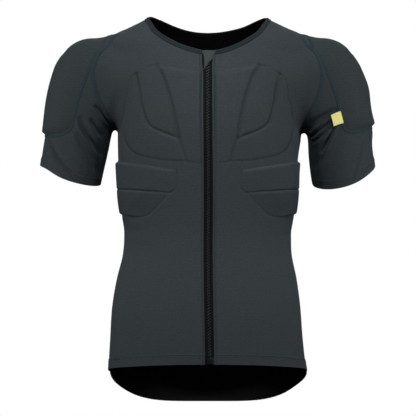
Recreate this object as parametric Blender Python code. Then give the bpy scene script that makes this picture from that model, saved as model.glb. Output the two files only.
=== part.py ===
"""Short-sleeved protective vest with a full front zip, filled out as it is when worn.

Every panel is a thin wall on one smooth form, worked out from a table of body rings and a table of arm
rings. Lengths are in millimetres until the meshes are made. +Z is up, the front faces -Y, and +X is the
wearer's left. The origin is in the middle, at the height where the shoulders carry the vest.
"""

import math

import bmesh
import bpy
import numpy as np
from mathutils import Vector
from mathutils.geometry import delaunay_2d_cdt

MM = 0.001
VEST = "protective_vest"

# Cloth and seams
CLOTH = 1.5
SEAM_GAP = 0.3
BINDING_WIDTH = 9.0
BINDING_RAISE = 0.6
BINDING_DEPTH = 1.8

# Body rings from the hem up: height, half width, depth in front, depth behind
BODY_RINGS = np.array([
    (-720, 184, 116, 108),
    (-625, 182, 115, 106),
    (-570, 178, 113, 102),
    (-503, 173, 109, 96),
    (-459, 166, 106, 91),
    (-414, 156, 103, 87),
    (-381, 154, 103, 86),
    (-348, 156, 106, 88),
    (-303, 162, 112, 94),
    (-259, 165, 117, 101),
    (-215, 166, 120, 108),
    (-170, 165, 118, 113),
    (-130, 168, 112, 115),
    (-90, 180, 102, 112),
    (-50, 190, 88, 103),
    (-15, 188, 75, 90),
    (-4, 165, 72, 84),
    (7, 142, 69, 78),
    (18, 121, 66, 72),
    (30, 106, 63, 66),
    (60, 98, 60, 60),
], float)
RING_POWER = 2.35

# Arm rings from the shoulder joint down: distance, radius across, radius front to back
ARM_RINGS = np.array([
    (0, 66, 63),
    (60, 65, 64),
    (115, 60.5, 61),
    (150, 59, 59),
    (190, 58, 58),
    (240, 58, 57),
], float)
SHOULDER_JOINT = np.array((218.0, 4.0, -84.0))
CUFF_CENTRE = np.array((254.0, 2.0, -268.0))
CUFF_LIFT = math.radians(17.5)
CUFF_DIP = {"left": 0.38, "right": 0.21}

# How far the arm's form melts into the body's: height, reach
ARMHOLE_MELT = np.array([
    (-300, 14),
    (-195, 16),
    (-172, 40),
    (-140, 62),
    (-110, 66),
    (-60, 50),
    (-20, 22),
    (0, 18),
], float)

# Armhole seam of the left side seen from the front, from the armpit up: across, up
ARMHOLE_SEAM = np.array([
    (180.4, -169.5),
    (192, -145),
    (201, -125.7),
    (207, -103.8),
    (209.4, -80.4),
    (205.8, -61),
    (194.6, -41.7),
    (179, -26.2),
], float)
ARMPIT = np.array((166.0, 8.0, -188.0))
SHOULDER_TOP_HEIGHT = 1.0
SLEEVE_HUB = np.array((176.0, 2.0, -92.0))
SLEEVE_BEND = np.array((240.0, 2.0, -130.0))

# Hem, side seam and front edges
HEM_FRONT = -612.0
HEM_SIDE = -632.0
HEM_BACK = -695.0
HEM_BEND = {-1: 2.0, 1: 3.8}
HEM_ROWS = 0.3
SIDE_SEAM_BACK = 30.0
SIDE_SEAM_HEIGHTS = (-632, -500, -380, -300, -250, -222)
ZIP_GAP = 8.0

# Neck edge of the left side, from the middle out: across, up
NECK_FRONT = np.array([(8.0, -41.3), (24, -37.8), (43, -32.6), (70, -19.9), (89.5, -7.2), (102, 10)], float)
NECK_BACK = np.array([(0.0, 0.1), (20, 1.3), (40, 4.8), (63, 11.9), (85, 20.5)], float)
NECK_SIDE_HEIGHT = 25.0

# Point inside a half of the body from which a panel's rows are sighted
PANEL_HUB = np.array((60.0, 15.0))
PANEL_HUB_TOP = -60.0
PANEL_HUB_LIFT = 75.0
PANEL_HUB_REACH = 60.0
PANEL_HUB_FADE = 0.4

# Pad lines of the left front seen from the front: across, up
PAD_LINES = {
    "top_inner": [(13.6, -81.7), (39.8, -78.8), (65.2, -72.2), (92.5, -68.8)],
    "top_middle": [(92.5, -68.8), (114, -75.3), (130.8, -85.5)],
    "top_outer": [(130.8, -85.5), (137.2, -89.4), (141.8, -95.6)],
    "outer": [(141.8, -95.6), (146.1, -118.2), (152.5, -150.6), (155.4, -179.4), (152, -205.3), (143.7, -221)],
    "low_outer": [(143.7, -221), (127.5, -232.8), (104.8, -238.9), (75.7, -243.7), (40.5, -245.6)],
    "low_inner": [(40.5, -245.6), (13.5, -249.2)],
    "zip_side": [(13.5, -249.2), (13.6, -81.7)],
    "slant_high": [(92.5, -68.8), (81.4, -90.5), (71.3, -118), (61.3, -156.3), (53.1, -203.3)],
    "slant_low": [(53.1, -203.3), (45.9, -224.9), (40.5, -245.6)],
    "cup": [(130.8, -85.5), (125.2, -106.1), (118.7, -144.5), (110.3, -173.7), (93.9, -187.6), (53.1, -203.3)],
    "rib_top": [(58.6, -260.8), (99.4, -254.3), (136.3, -248.1)],
    "rib_inner": [(58.6, -260.8), (57, -278.8), (59.5, -295.9), (68.6, -301.9)],
    "rib_middle": [(68.6, -301.9), (108.6, -298.5), (140, -296)],
    "rib_slant": [(68.6, -301.9), (88.6, -322.1), (106.1, -340.2), (118.1, -345.6)],
    "rib_low": [(118.1, -345.6), (138.6, -345)],
}
# Rib pad lines that run on round the side: height there
RIB_SIDE_HEIGHTS = {"rib_top": -243.5, "rib_middle": -294.5, "rib_low": -342.0}
RIB_SIDE_FRONT = -25.0
RIB_SIDE_BACK = 20.0
# Each raised pad: its height and the lines round it, with -1 for a line taken backwards
PADS = {
    "chest_inner": (4.5, [("top_inner", 1), ("slant_high", 1), ("slant_low", 1), ("low_inner", 1),
                          ("zip_side", 1)]),
    "chest_middle": (5.0, [("top_middle", 1), ("cup", 1), ("slant_high", -1)]),
    "chest_outer": (5.0, [("top_outer", 1), ("outer", 1), ("low_outer", 1), ("slant_low", -1), ("cup", -1)]),
    "rib_high": (5.5, [("rib_top", 1), ("rib_back_high", 1), ("rib_middle", -1), ("rib_inner", -1)]),
    "rib_low": (5.0, [("rib_middle", 1), ("rib_back_low", 1), ("rib_low", -1), ("rib_slant", -1)]),
}
PAD_SLOPE = 7.0

# Shoulder pad cover in the sleeve's own plane, from its top down the front: around, down
SHOULDER_OUTLINE = np.array([
    (0.500, 0.092),
    (0.455, 0.090),
    (0.405, 0.092),
    (0.352, 0.072),
    (0.312, 0.080),
    (0.290, 0.145),
    (0.274, 0.235),
    (0.265, 0.345),
    (0.258, 0.450),
    (0.254, 0.540),
    (0.266, 0.620),
    (0.305, 0.690),
    (0.370, 0.748),
    (0.440, 0.785),
    (0.500, 0.800),
], float)
SHOULDER_RAISE = 7.0
SHOULDER_SLOPE = 12.0

# Largest folds of the sleeves: start around, start down, end around, end down, half width, depth
FOLDS = {
    "left": np.array([
        (0.245, 0.275, 0.120, 0.150, 9, 2.0),
        (0.177, 0.363, 0.060, 0.388, 8, 2.2),
        (0.193, 0.500, 0.110, 0.640, 9, 2.0),
        (0.450, 0.860, 0.330, 0.960, 9, 1.8),
        (0.760, 0.300, 0.890, 0.180, 9, 2.0),
        (0.800, 0.500, 0.900, 0.640, 9, 1.8),
    ]),
    "right": np.array([
        (0.200, 0.110, 0.085, 0.020, 8, 1.8),
        (0.240, 0.413, 0.135, 0.650, 9, 2.2),
        (0.193, 0.438, 0.090, 0.620, 8, 2.0),
        (0.440, 0.815, 0.270, 0.895, 10, 2.0),
        (0.760, 0.280, 0.880, 0.150, 9, 2.0),
        (0.790, 0.480, 0.890, 0.650, 9, 2.0),
    ]),
}
FOLD_CLEAR = 14.0

# Zip down the middle of the front
ZIP_TOP = -47.0
ZIP_BOTTOM = -608.0
TAPE_INNER = 3.2
TAPE_OUTER = 15.0
TAPE_THICK = 0.8
TAPE_CLEAR = 0.7
COIL_HALF = 2.9
COIL_CROWN = 0.4
SLIDER_HALF = 4.4
SLIDER_LENGTH = 13.0
SLIDER_RAISE = 1.6
STOP_HALF = 4.6
STOP_LENGTH = 11.0
STOP_RAISE = 1.2
# Folded flap over the top of the zip, seen from the front: across, up
GARAGE_OUTLINE = [(-9.0, -42.4), (15.0, -41.8), (9.3, -56.0), (0.5, -68.0), (-7.9, -79.6)]
GARAGE_RAISE = 1.9
GARAGE_THICK = 1.2

# Sleeve label in the left sleeve's own plane: around, down at its four corners
LABEL_CORNERS = [(0.214, 0.365), (0.2575, 0.455), (0.2535, 0.560), (0.208, 0.485)]
LABEL_THICK = 1.0
LABEL_LOW = 0.5
LABEL_HIGH = 2.4

# How a sight line is walked: most steps, shortest step, share of the distance still free
CAST_STEPS = 90
CAST_STEP = 4.0
CAST_SHARE = 0.35

# Mesh sizes
SEAM_STEP = 15.0
LINE_STEP = 11.0
FRONT_STEP = 20.0
BACK_STEP = 24.0
SLEEVE_STEP = 17.0
SHOULDER_STEP = 15.0
ZIP_STEP = 20.0
HEM_POINTS = 13
CUFF_POINTS = 27
UNDERARM_POINTS = 8
# How finely seam lines and the rows of a panel are followed
LINE_POINTS = 160
ROWS = 150
NECK_SEAM_KEPT = 0.86
# Flat sizes that the panels' own planes are drawn at: width, length below the armpit, length above it
PANEL_PLANE = (215.0, 440.0, 250.0)
PANEL_NECK_SHARE = 0.6
SLEEVE_PLANE = (430.0, 220.0)

COLOURS = {
    "cloth": (0.040, 0.048, 0.052, 1),
    "pad_cloth": (0.033, 0.036, 0.037, 1),
    "binding": (0.020, 0.030, 0.033, 1),
    "tape": (0.006, 0.007, 0.008, 1),
    "coil": (0.008, 0.009, 0.010, 1),
    "label": (0.85, 0.78, 0.16, 1),
}


# The form

def through(table, column, at):
    """A smooth curve through one column of a table, against its first column."""
    xs, ys = table[:, 0], table[:, column]
    slopes = np.gradient(ys, xs)
    i = np.clip(np.searchsorted(xs, at) - 1, 0, len(xs) - 2)
    step = xs[i + 1] - xs[i]
    t = np.clip((at - xs[i]) / step, 0, 1)
    ends = ys[i] * (1 + 2 * t) * (1 - t) ** 2 + ys[i + 1] * t * t * (3 - 2 * t)
    return ends + step * (slopes[i] * t * (1 - t) ** 2 + slopes[i + 1] * t * t * (t - 1))


def body_distance(p):
    """Signed distance, measured level, from the body rings."""
    x, y, z = p[..., 0], p[..., 1], p[..., 2]
    wide = through(BODY_RINGS, 1, z)
    deep = np.where(y < 0, through(BODY_RINGS, 2, z), through(BODY_RINGS, 3, z))
    share = (np.abs(x / wide) ** RING_POWER + np.abs(y / deep) ** RING_POWER) ** (1 / RING_POWER)
    reach = np.hypot(x, y) + 1e-9
    return reach - reach / np.maximum(share, 1e-6)


def arm_distance(p):
    """Signed distance from the arm rings of either side."""
    axis = (CUFF_CENTRE - SHOULDER_JOINT) / np.linalg.norm(CUFF_CENTRE - SHOULDER_JOINT)
    q = np.stack([np.abs(p[..., 0]), p[..., 1], p[..., 2]], -1) - SHOULDER_JOINT
    along = np.clip(q @ axis, 0, ARM_RINGS[-1, 0])
    off = q - along[..., None] * axis
    wide = through(ARM_RINGS, 1, along)
    off[..., 1] *= wide / through(ARM_RINGS, 2, along)
    return np.linalg.norm(off, axis=-1) - wide


def form(p):
    """Below zero inside the filled-out vest and above zero outside it."""
    body, arm = body_distance(p), arm_distance(p)
    melt = through(ARMHOLE_MELT, 1, p[..., 2])
    h = np.clip(0.5 + 0.5 * (arm - body) / melt, 0, 1)
    return arm * (1 - h) + body * h - melt * h * (1 - h)


def slope(p):
    """How fast the form's value changes along each axis."""
    h = 0.4
    return np.stack([form(p + h * e) - form(p - h * e) for e in np.eye(3)], -1) / (2 * h)


def outward(p):
    """Unit normals of the form at points on it."""
    g = slope(p)
    return g / np.linalg.norm(g, axis=-1, keepdims=True)


def settle(p):
    """Move points that are near the form onto it."""
    for _ in range(6):
        g = slope(p)
        p = p - (form(p) / np.sum(g * g, -1))[..., None] * g
    return p


def cast(start, direction):
    """Where rays from inside the form first leave it."""
    start, direction = np.broadcast_arrays(np.asarray(start, float), np.asarray(direction, float))
    direction = direction / np.linalg.norm(direction, axis=-1, keepdims=True)
    near = np.zeros(direction.shape[:-1])
    far = np.zeros(near.shape)
    found = np.zeros(near.shape, bool)
    for _ in range(CAST_STEPS):
        value = form(start + far[..., None] * direction)
        found |= value > 0
        near = np.where(found, near, far)
        far = np.where(found, far, far + np.maximum(CAST_STEP, -CAST_SHARE * value))
        if found.all():
            break
    for _ in range(22):
        mid = (near + far) / 2
        out = form(start + mid[..., None] * direction) > 0
        far = np.where(out, mid, far)
        near = np.where(out, near, mid)
    return start + far[..., None] * direction


def seen(across, up, facing=-1):
    """The surface seen from the front, or from behind where facing is 1."""
    across, up = np.broadcast_arrays(np.asarray(across, float), np.asarray(up, float))
    return cast(np.stack([across, np.zeros_like(up), up], -1), (0.0, facing, 0.0))


def beside(back, up):
    """The surface of the left side at a distance behind the middle and a height."""
    return cast((PANEL_HUB[0], back, up), (1.0, 0.0, 0.0))


# Lines on the form

def even(line, count):
    """A line sampled again at even steps of its length."""
    run = np.concatenate([[0], np.cumsum(np.linalg.norm(np.diff(line, axis=0), axis=1))])
    at = np.linspace(0, run[-1], count)
    return np.stack([np.interp(at, run, c) for c in line.T], 1)


def spline(points, count):
    """A smooth line through points, sampled evenly."""
    points = np.asarray(points, float)
    chord = np.concatenate([[0], np.cumsum(np.linalg.norm(np.diff(points, axis=0), axis=1))])
    dense = np.linspace(0, chord[-1], 400)
    return even(np.stack([through(np.stack([chord, c], 1), 1, dense) for c in points.T], 1), count)


def length(line):
    """How long a line of points is."""
    return np.linalg.norm(np.diff(line, axis=0), axis=1).sum()


def pieces(line, step):
    """How many points a line takes at about this step."""
    return max(2, int(round(length(line) / step)) + 1)


def armhole(facing):
    """The left armhole seam from the armpit up to the shoulder, in front or behind."""
    middle = seen(ARMHOLE_SEAM[:, 0], ARMHOLE_SEAM[:, 1], facing)
    ends = settle(ARMPIT), beside(0, SHOULDER_TOP_HEIGHT)
    return settle(spline(np.vstack([ends[0], middle, ends[1]]), LINE_POINTS))


def neck_edge(facing):
    """The neck edge of the left side from the middle to the shoulder."""
    table = NECK_FRONT if facing < 0 else NECK_BACK
    line = seen(table[:, 0], table[:, 1], facing)
    return settle(spline(np.vstack([line, beside(0, NECK_SIDE_HEIGHT)]), LINE_POINTS))


def neck_seam(facing):
    """The line where the neck binding meets the panel."""
    edge = neck_edge(facing)
    n = outward(edge)
    t = np.gradient(edge, axis=0)
    aside = facing * np.cross(n, t / np.linalg.norm(t, axis=1, keepdims=True))
    kept = np.linspace(0, NECK_SEAM_KEPT * LINE_POINTS, 7).astype(int)
    line = settle(edge + BINDING_WIDTH * aside)[kept]
    line[0, 0] = edge[0, 0]
    end = edge[-1] + BINDING_WIDTH * np.array((n[-1, 2], 0, -n[-1, 0]))
    return settle(spline(np.vstack([line, settle(end)]), LINE_POINTS))


def side_seam():
    """The left side seam from the hem up to the armpit."""
    line = [beside(SIDE_SEAM_BACK, h) for h in SIDE_SEAM_HEIGHTS]
    return spline(np.vstack(line + [settle(ARMPIT)]), LINE_POINTS)


def middle_line(facing, top):
    """The front edge beside the zip, or the middle of the back, from the hem up."""
    ups = np.linspace(HEM_FRONT if facing < 0 else HEM_BACK, top, 2 * LINE_POINTS)
    return seen(ZIP_GAP if facing < 0 else 0.0, ups, facing)


# Panels in their own planes

class Half:
    """A left half of the front or the back, with a plane of its own to draw on."""

    def __init__(self, facing):
        self.facing = facing
        self.side, self.hole, self.neck = side_seam(), armhole(facing), neck_seam(facing)
        middle = middle_line(facing, self.neck[0, 2])
        k = int(np.argmin(np.abs(middle[:, 2] - self.side[-1, 2])))
        high = np.vstack([even(middle[k:], ROWS + 1), even(self.neck, ROWS + 1)[1:]])
        self.inner = np.vstack([even(middle[:k + 1], 2 * ROWS + 1), high[1:]])
        self.outer = np.vstack([even(self.side, 2 * ROWS + 1), even(self.hole, 2 * ROWS + 1)[1:]])

    def inner_edge(self, row):
        """Where the panel's plane begins across: at the middle, and along the neck above it."""
        wide, low, high = PANEL_PLANE
        return wide * PANEL_NECK_SHARE * np.clip((row - low - high / 2) / (high / 2), 0, 1)

    def plane(self, u, row):
        """A point of the panel's plane from its share across and its row."""
        start = self.inner_edge(row)
        return np.stack([start + u * (PANEL_PLANE[0] - start), row], -1)

    def surface(self, plane):
        """Points of the form for points of the panel's plane, mirrored left of its middle."""
        wide, low, high = PANEL_PLANE
        row = plane[..., 1]
        start = self.inner_edge(row)
        u = np.clip((np.abs(plane[..., 0]) - start) / (wide - start), 0, 1)
        at = np.interp(row, (0, low, low + high), (0, 1, 2))
        rows = np.linspace(0, 2, len(self.inner))
        a = np.stack([np.interp(at, rows, c) for c in self.inner.T], -1)
        b = np.stack([np.interp(at, rows, c) for c in self.outer.T], -1)
        lift = PANEL_HUB_LIFT * np.exp(-((b[..., 2] - self.side[-1, 2]) / PANEL_HUB_REACH) ** 2)
        share = 0.5 * np.clip(at / HEM_ROWS, 0, 1)
        height = np.minimum(a[..., 2] + (b[..., 2] - a[..., 2]) * share + lift, PANEL_HUB_TOP)
        behind = -self.facing * PANEL_HUB[1] * np.clip((2 - at) / PANEL_HUB_FADE, 0, 1)
        hub = np.stack([np.full_like(height, PANEL_HUB[0]), behind, height], -1)
        turns, rises = [], []
        for d in (a - hub, b - hub):
            turns.append(np.arctan2(d[..., 0], self.facing * d[..., 1]))
            rises.append(d[..., 2] / np.hypot(d[..., 0], d[..., 1]))
        turn = turns[0] + (turns[1] - turns[0]) * u
        bend = 1 + (HEM_BEND[self.facing] - 1) * np.clip(1 - at, 0, 1) ** 2
        rise = rises[0] + (rises[1] - rises[0]) * u ** bend
        made = cast(hub, np.stack([np.sin(turn), self.facing * np.cos(turn), rise], -1))
        made[..., 0] *= np.where(plane[..., 0] < 0, -1, 1)
        return made

    def place(self, points):
        """Points of the panel's plane for points of the form."""
        wide, low, high = PANEL_PLANE
        share, row = np.meshgrid(np.linspace(0, 1, 81), np.linspace(0, low + high, 181))
        grid = self.plane(share, row)
        made = self.surface(grid).reshape(-1, 3)
        flat = grid.reshape(-1, 2)
        found = np.array([flat[np.argmin(np.sum((made - p) ** 2, 1))] for p in points])
        for _ in range(6):
            du = self.surface(found + (0.5, 0)) - self.surface(found - (0.5, 0))
            dv = self.surface(found + (0, 0.5)) - self.surface(found - (0, 0.5))
            miss = points - self.surface(found)
            uu, vv, uv = (du * du).sum(1), (dv * dv).sum(1), (du * dv).sum(1)
            ru, rv = (miss * du).sum(1), (miss * dv).sum(1)
            det = np.maximum(uu * vv - uv * uv, 1e-9)
            step = np.stack([(ru * vv - rv * uv) / det, (rv * uu - ru * uv) / det], 1)
            found = np.clip(found + np.clip(step, -6, 6), (0.5, 0.5), (wide - 0.5, low + high - 0.5))
        return found

    def outline(self):
        """The panel's edge in its plane from the hem at the middle round to the neck at the middle."""
        wide, low, high = PANEL_PLANE
        hem = [(u, 0) for u in np.linspace(0, 1, HEM_POINTS)]
        side = [(1, v) for v in np.linspace(0, low, pieces(self.side, SEAM_STEP))]
        hole = [(1, v) for v in np.linspace(low, low + high, pieces(self.hole, SEAM_STEP))]
        shoulder = [(u, low + high) for u in np.linspace(1, 0, 6)]
        neck = [(0, v) for v in np.linspace(low + high, low + high / 2, pieces(self.neck, SEAM_STEP))]
        edge = np.array(hem + side[1:] + hole[1:] + shoulder[1:] + neck[1:], float)
        return self.plane(edge[:, 0], edge[:, 1])

    def middle(self):
        """The straight edge beside the zip in the panel's plane, from the neck down to the hem."""
        rows = np.linspace(PANEL_PLANE[1] + PANEL_PLANE[2] / 2, 0, pieces(self.inner[:3 * ROWS], SEAM_STEP))
        return self.plane(np.zeros(len(rows)), rows)


class Sleeve:
    """A sleeve on the left side, with a plane that unrolls it from the underarm seam."""

    def __init__(self, dip):
        self.loop = np.vstack([even(armhole(-1), 2 * ROWS + 1), even(armhole(1), 2 * ROWS + 1)[-2::-1]])
        self.dip = dip

    def surface(self, plane):
        around, down = plane[..., 0] / SLEEVE_PLANE[0], plane[..., 1] / SLEEVE_PLANE[1]
        at = np.linspace(0, 1, len(self.loop))
        start = np.stack([np.interp(around, at, c) for c in self.loop.T], -1) - SLEEVE_HUB
        start /= np.linalg.norm(start, axis=-1, keepdims=True)
        turn = 2 * math.pi * around[..., None]
        out = np.array((math.cos(CUFF_LIFT), 0, math.sin(CUFF_LIFT)))
        end = -np.cos(turn) * out - np.sin(turn) * np.array((0, 1, self.dip))
        t = down[..., None]
        hub = (1 - t) ** 2 * SLEEVE_HUB + 2 * t * (1 - t) * SLEEVE_BEND + t * t * CUFF_CENTRE
        return cast(hub, start * (1 - t) + end * t)


# Pads

def front_lines():
    """The pad lines of the left front as smooth lines on the form."""
    lines = {}
    for name, rows in PAD_LINES.items():
        table = np.array(rows, float)
        points = seen(table[:, 0], table[:, 1])
        if name in RIB_SIDE_HEIGHTS:
            height = RIB_SIDE_HEIGHTS[name]
            points = np.vstack([points, beside(RIB_SIDE_FRONT, height), beside(RIB_SIDE_BACK, height)])
        lines[name] = points
    lines["rib_back_high"] = np.vstack([lines["rib_top"][-1], lines["rib_middle"][-1]])
    lines["rib_back_low"] = np.vstack([lines["rib_middle"][-1], lines["rib_low"][-1]])
    return {name: settle(spline(points, LINE_POINTS)) for name, points in lines.items()}


def chain(lines, order):
    """Lines joined end to end as one closed line."""
    return np.vstack([lines[name][::way][:-1] for name, way in order])


def inside(points, loop):
    """Which points of a plane are inside a closed line."""
    x, y = points[:, 0:1], points[:, 1:2]
    x0, y0 = loop.T
    x1, y1 = np.roll(loop, -1, 0).T
    crosses = (y0 > y) != (y1 > y)
    at = x0 + (y - y0) * (x1 - x0) / np.where(y1 == y0, 1e-9, y1 - y0)
    return (crosses & (x < at)).sum(1) % 2 == 1


def nearest(points, line):
    """Distance from each point to the closest point of a finely sampled line."""
    return np.array([np.sqrt(np.min(np.sum((line - p) ** 2, 1))) for p in points])


def rise_over(distance, reach):
    """A smooth climb from 0 to 1 over a distance."""
    t = np.clip(distance / reach, 0, 1)
    return t * t * (3 - 2 * t)


def drawn_in(loop, inset, step):
    """A closed line of the plane moved inwards, sampled at about a step."""
    loop = even(np.vstack([loop, loop[:1]]), max(40, int(length(loop) / 3)))[:-1]
    t = np.roll(loop, -1, 0) - np.roll(loop, 1, 0)
    aside = np.stack([-t[:, 1], t[:, 0]], 1) / np.linalg.norm(t, axis=1, keepdims=True)
    moved = loop + inset * aside
    if not inside(moved, loop).sum() * 2 > len(moved):
        moved = loop - inset * aside
    moved = moved[inside(moved, loop) & (nearest(moved, loop) > 0.9 * inset)]
    closed = np.vstack([moved, moved[:1]])
    return even(closed, pieces(closed, step))[:-1]


# Meshes

def triangulate(outline, holes, loops, lines, step):
    """Triangles that fill an outline of the plane and follow the lines drawn in it."""
    points, edges = [], []
    for loop in [outline] + holes + loops:
        edges += [(len(points) + i, len(points) + (i + 1) % len(loop)) for i in range(len(loop))]
        points += list(loop)
    for line in lines:
        edges += [(len(points) + i, len(points) + i + 1) for i in range(len(line) - 1)]
        points += list(line)
    drawn = np.array(points)
    low, high = outline.min(0), outline.max(0)
    row_step = step * math.sqrt(3) / 2
    fill = []
    for j in range(int((high[1] - low[1]) / row_step) + 1):
        for i in range(int((high[0] - low[0]) / step) + 1):
            fill.append((low[0] + (i + 0.5 * (j % 2)) * step, low[1] + j * row_step))
    fill = np.array(fill)
    keep = inside(fill, outline) & (nearest(fill, drawn) > 0.6 * step)
    for hole in holes:
        keep &= ~inside(fill, hole)
    points += list(fill[keep])
    made = delaunay_2d_cdt([Vector(p) for p in points], edges, [], 0, 0.01)
    flat = np.array([tuple(v) for v in made[0]])
    faces = np.array(made[2])
    centres = flat[faces].mean(1)
    keep = inside(centres, outline)
    for hole in holes:
        keep &= ~inside(centres, hole)
    faces = faces[keep]
    used = np.unique(faces)
    order = np.zeros(len(flat), int)
    order[used] = np.arange(len(used))
    return flat[used], order[faces]


def grid_faces(rows, columns):
    """Faces of a grid of points taken row by row."""
    at = np.arange(rows * columns).reshape(rows, columns)
    corners = (at[:-1, :-1], at[:-1, 1:], at[1:, 1:], at[1:, :-1])
    return np.stack([c.ravel() for c in corners], 1)


def set_in(points, faces, inset):
    """Draw a sheet's edge points in along the sheet, so that two pieces at a seam stay apart."""
    owner = {}
    for face in faces:
        for i in range(len(face)):
            a, b = int(face[i]), int(face[(i + 1) % len(face)])
            key = (min(a, b), max(a, b))
            owner[key] = None if key in owner else face
    aside = {}
    for (a, b), face in owner.items():
        if face is None:
            continue
        along = (points[b] - points[a]) / np.linalg.norm(points[b] - points[a])
        middle = points[face].mean(0) - points[a]
        inward = middle - along * (middle @ along)
        inward /= np.linalg.norm(inward)
        aside.setdefault(a, []).append(inward)
        aside.setdefault(b, []).append(inward)
    moved = points.copy()
    for k, pair in aside.items():
        both = pair[0] + pair[1]
        moved[k] += inset * both / max(1 + pair[0] @ pair[1], 0.35)
    return moved


def wall(name, inner, outer, faces, colour):
    """A closed wall between two layers of points that share their faces."""
    mesh = bpy.data.meshes.new(name)
    sheet = bmesh.new()
    tag = sheet.verts.layers.int.new("row")
    for k, p in enumerate(inner):
        sheet.verts.new(p * MM)[tag] = k
    sheet.verts.ensure_lookup_table()
    for face in faces:
        sheet.faces.new([sheet.verts[int(k)] for k in face])
    made = bmesh.ops.extrude_face_region(sheet, geom=sheet.faces[:])
    for v in made["geom"]:
        if isinstance(v, bmesh.types.BMVert):
            v.co = outer[v[tag]] * MM
    bmesh.ops.recalc_face_normals(sheet, faces=sheet.faces[:])
    bmesh.ops.triangulate(sheet, faces=sheet.faces[:])
    sheet.to_mesh(mesh)
    sheet.free()
    thing = bpy.data.objects.new(name, mesh)
    vest.objects.link(thing)
    mesh.materials.append(materials[colour])
    return thing


def cloth_wall(name, points, faces, raised, colour, mirror=False, depth=CLOTH):
    """A panel's wall: its points drawn in at the seams, raised outside and plain inside."""
    points = set_in(points, faces, SEAM_GAP / 2)
    n = outward(points)
    side = np.array((-1.0 if mirror else 1.0, 1, 1))
    return wall(name, (points - depth * n) * side, (points + raised[:, None] * n) * side, faces, colour)


def fold_depth(sleeve, points, table):
    """How far the sleeve's largest folds draw its cloth in at each point."""
    depth = np.zeros(len(points))
    for around0, down0, around1, down1, half, deep in table:
        t = np.linspace(0, 1, 25)
        plane = np.stack([around0 + (around1 - around0) * t, down0 + (down1 - down0) * t], 1)
        line = sleeve.surface(plane * SLEEVE_PLANE)
        gap = np.linalg.norm(points[:, None] - line[None], axis=2)
        k = gap.argmin(1)
        fade = np.sin(math.pi * np.clip(t[k], 0.08, 0.92))
        depth = np.maximum(depth, deep * fade * np.exp(-(gap.min(1) / half) ** 2))
    return depth


# Pieces

def make_fronts():
    """Both front panels, mirror images, with the chest and rib pads raised in their cloth."""
    half = Half(-1)
    lines = front_lines()
    flat_lines = {name: half.place(line) for name, line in lines.items()}
    drawn = [even(line, pieces(line, LINE_STEP)) for line in flat_lines.values()]
    pads, tops = [], []
    for height, order in PADS.values():
        flat = chain(flat_lines, order)
        pads.append((height, flat, chain(lines, order)))
        tops.append(drawn_in(flat, PAD_SLOPE, LINE_STEP))
    outline = np.vstack([half.outline(), half.middle()[1:-1]])
    flat, faces = triangulate(outline, [], tops, drawn, FRONT_STEP)
    points = half.surface(flat)
    raised = np.zeros(len(points))
    for height, edge, line in pads:
        climb = height * rise_over(nearest(points, line), PAD_SLOPE)
        raised = np.where(inside(flat, edge), climb, raised)
    for name, mirror in (("front_left", False), ("front_right", True)):
        cloth_wall(name, points, faces, raised, "cloth", mirror)


def make_back():
    """The back panel in one piece across the middle."""
    half = Half(1)
    left = half.outline()
    outline = np.vstack([left, (left * (-1, 1))[-2:0:-1]])
    flat, faces = triangulate(outline, [], [], [], BACK_STEP)
    cloth_wall("back", half.surface(flat), faces, np.zeros(len(flat)), "cloth")


def make_binding():
    """The neck binding, from one front edge round the back to the other."""
    rows = []
    for line in (neck_edge, neck_seam):
        front = even(line(-1), pieces(neck_seam(-1), SEAM_STEP))
        back = even(line(1), pieces(neck_seam(1), SEAM_STEP))
        left = np.vstack([front, back[-2::-1]])
        rows.append(np.vstack([left, (left * (-1, 1, 1))[-2::-1]]))
    edge, seam = rows
    points = np.vstack([edge, settle((edge + seam) / 2), seam])
    raised = np.full(len(points), BINDING_RAISE)
    cloth_wall("neck_binding", points, grid_faces(3, len(edge)), raised, "binding", depth=BINDING_DEPTH)


def make_sleeve(side):
    """A sleeve with its underarm seam, its largest folds and the pad cover let into it."""
    sleeve = Sleeve(CUFF_DIP[side])
    wide, long = SLEEVE_PLANE
    front = np.linspace(0, 0.5, pieces(armhole(-1), SEAM_STEP))
    back = np.linspace(0.5, 1, pieces(armhole(1), SEAM_STEP))
    hole = [(a, 0) for a in np.concatenate([front, back[1:]])]
    seam = np.linspace(0, 1, UNDERARM_POINTS)
    cuff = [(a, 1) for a in np.linspace(1, 0, CUFF_POINTS)]
    edge = hole + [(1, d) for d in seam[1:]] + cuff[1:] + [(0, d) for d in seam[-2:0:-1]]
    outline = np.array(edge, float) * (wide, long)
    half = spline(SHOULDER_OUTLINE * (wide, long), LINE_POINTS)
    pad = np.vstack([half, (half * (-1, 1) + (wide, 0))[-2:0:-1]])
    closed = np.vstack([pad, pad[:1]])
    pad_edge = even(closed, pieces(closed, LINE_STEP))[:-1]
    pad_line = sleeve.surface(pad)
    mirror = side == "right"

    flat, faces = triangulate(outline, [pad_edge], [], [], SLEEVE_STEP)
    points = sleeve.surface(flat)
    seams = np.vstack([pad_line, sleeve.surface(np.array(edge + [(0, 0)]) * (wide, long))])
    depth = fold_depth(sleeve, points, FOLDS[side]) * rise_over(nearest(points, seams), FOLD_CLEAR)
    shifted = points - depth[:, None] * outward(points)
    cloth_wall("sleeve_" + side, shifted, faces, np.zeros(len(points)), "cloth", mirror)

    tops = [drawn_in(pad, inset, SHOULDER_STEP) for inset in (SHOULDER_SLOPE / 2, SHOULDER_SLOPE)]
    flat, faces = triangulate(pad_edge, [], tops, [], SHOULDER_STEP)
    points = sleeve.surface(flat)
    raised = SHOULDER_RAISE * rise_over(nearest(points, pad_line), SHOULDER_SLOPE)
    cloth_wall("shoulder_" + side, points, faces, raised, "pad_cloth", mirror)


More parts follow.
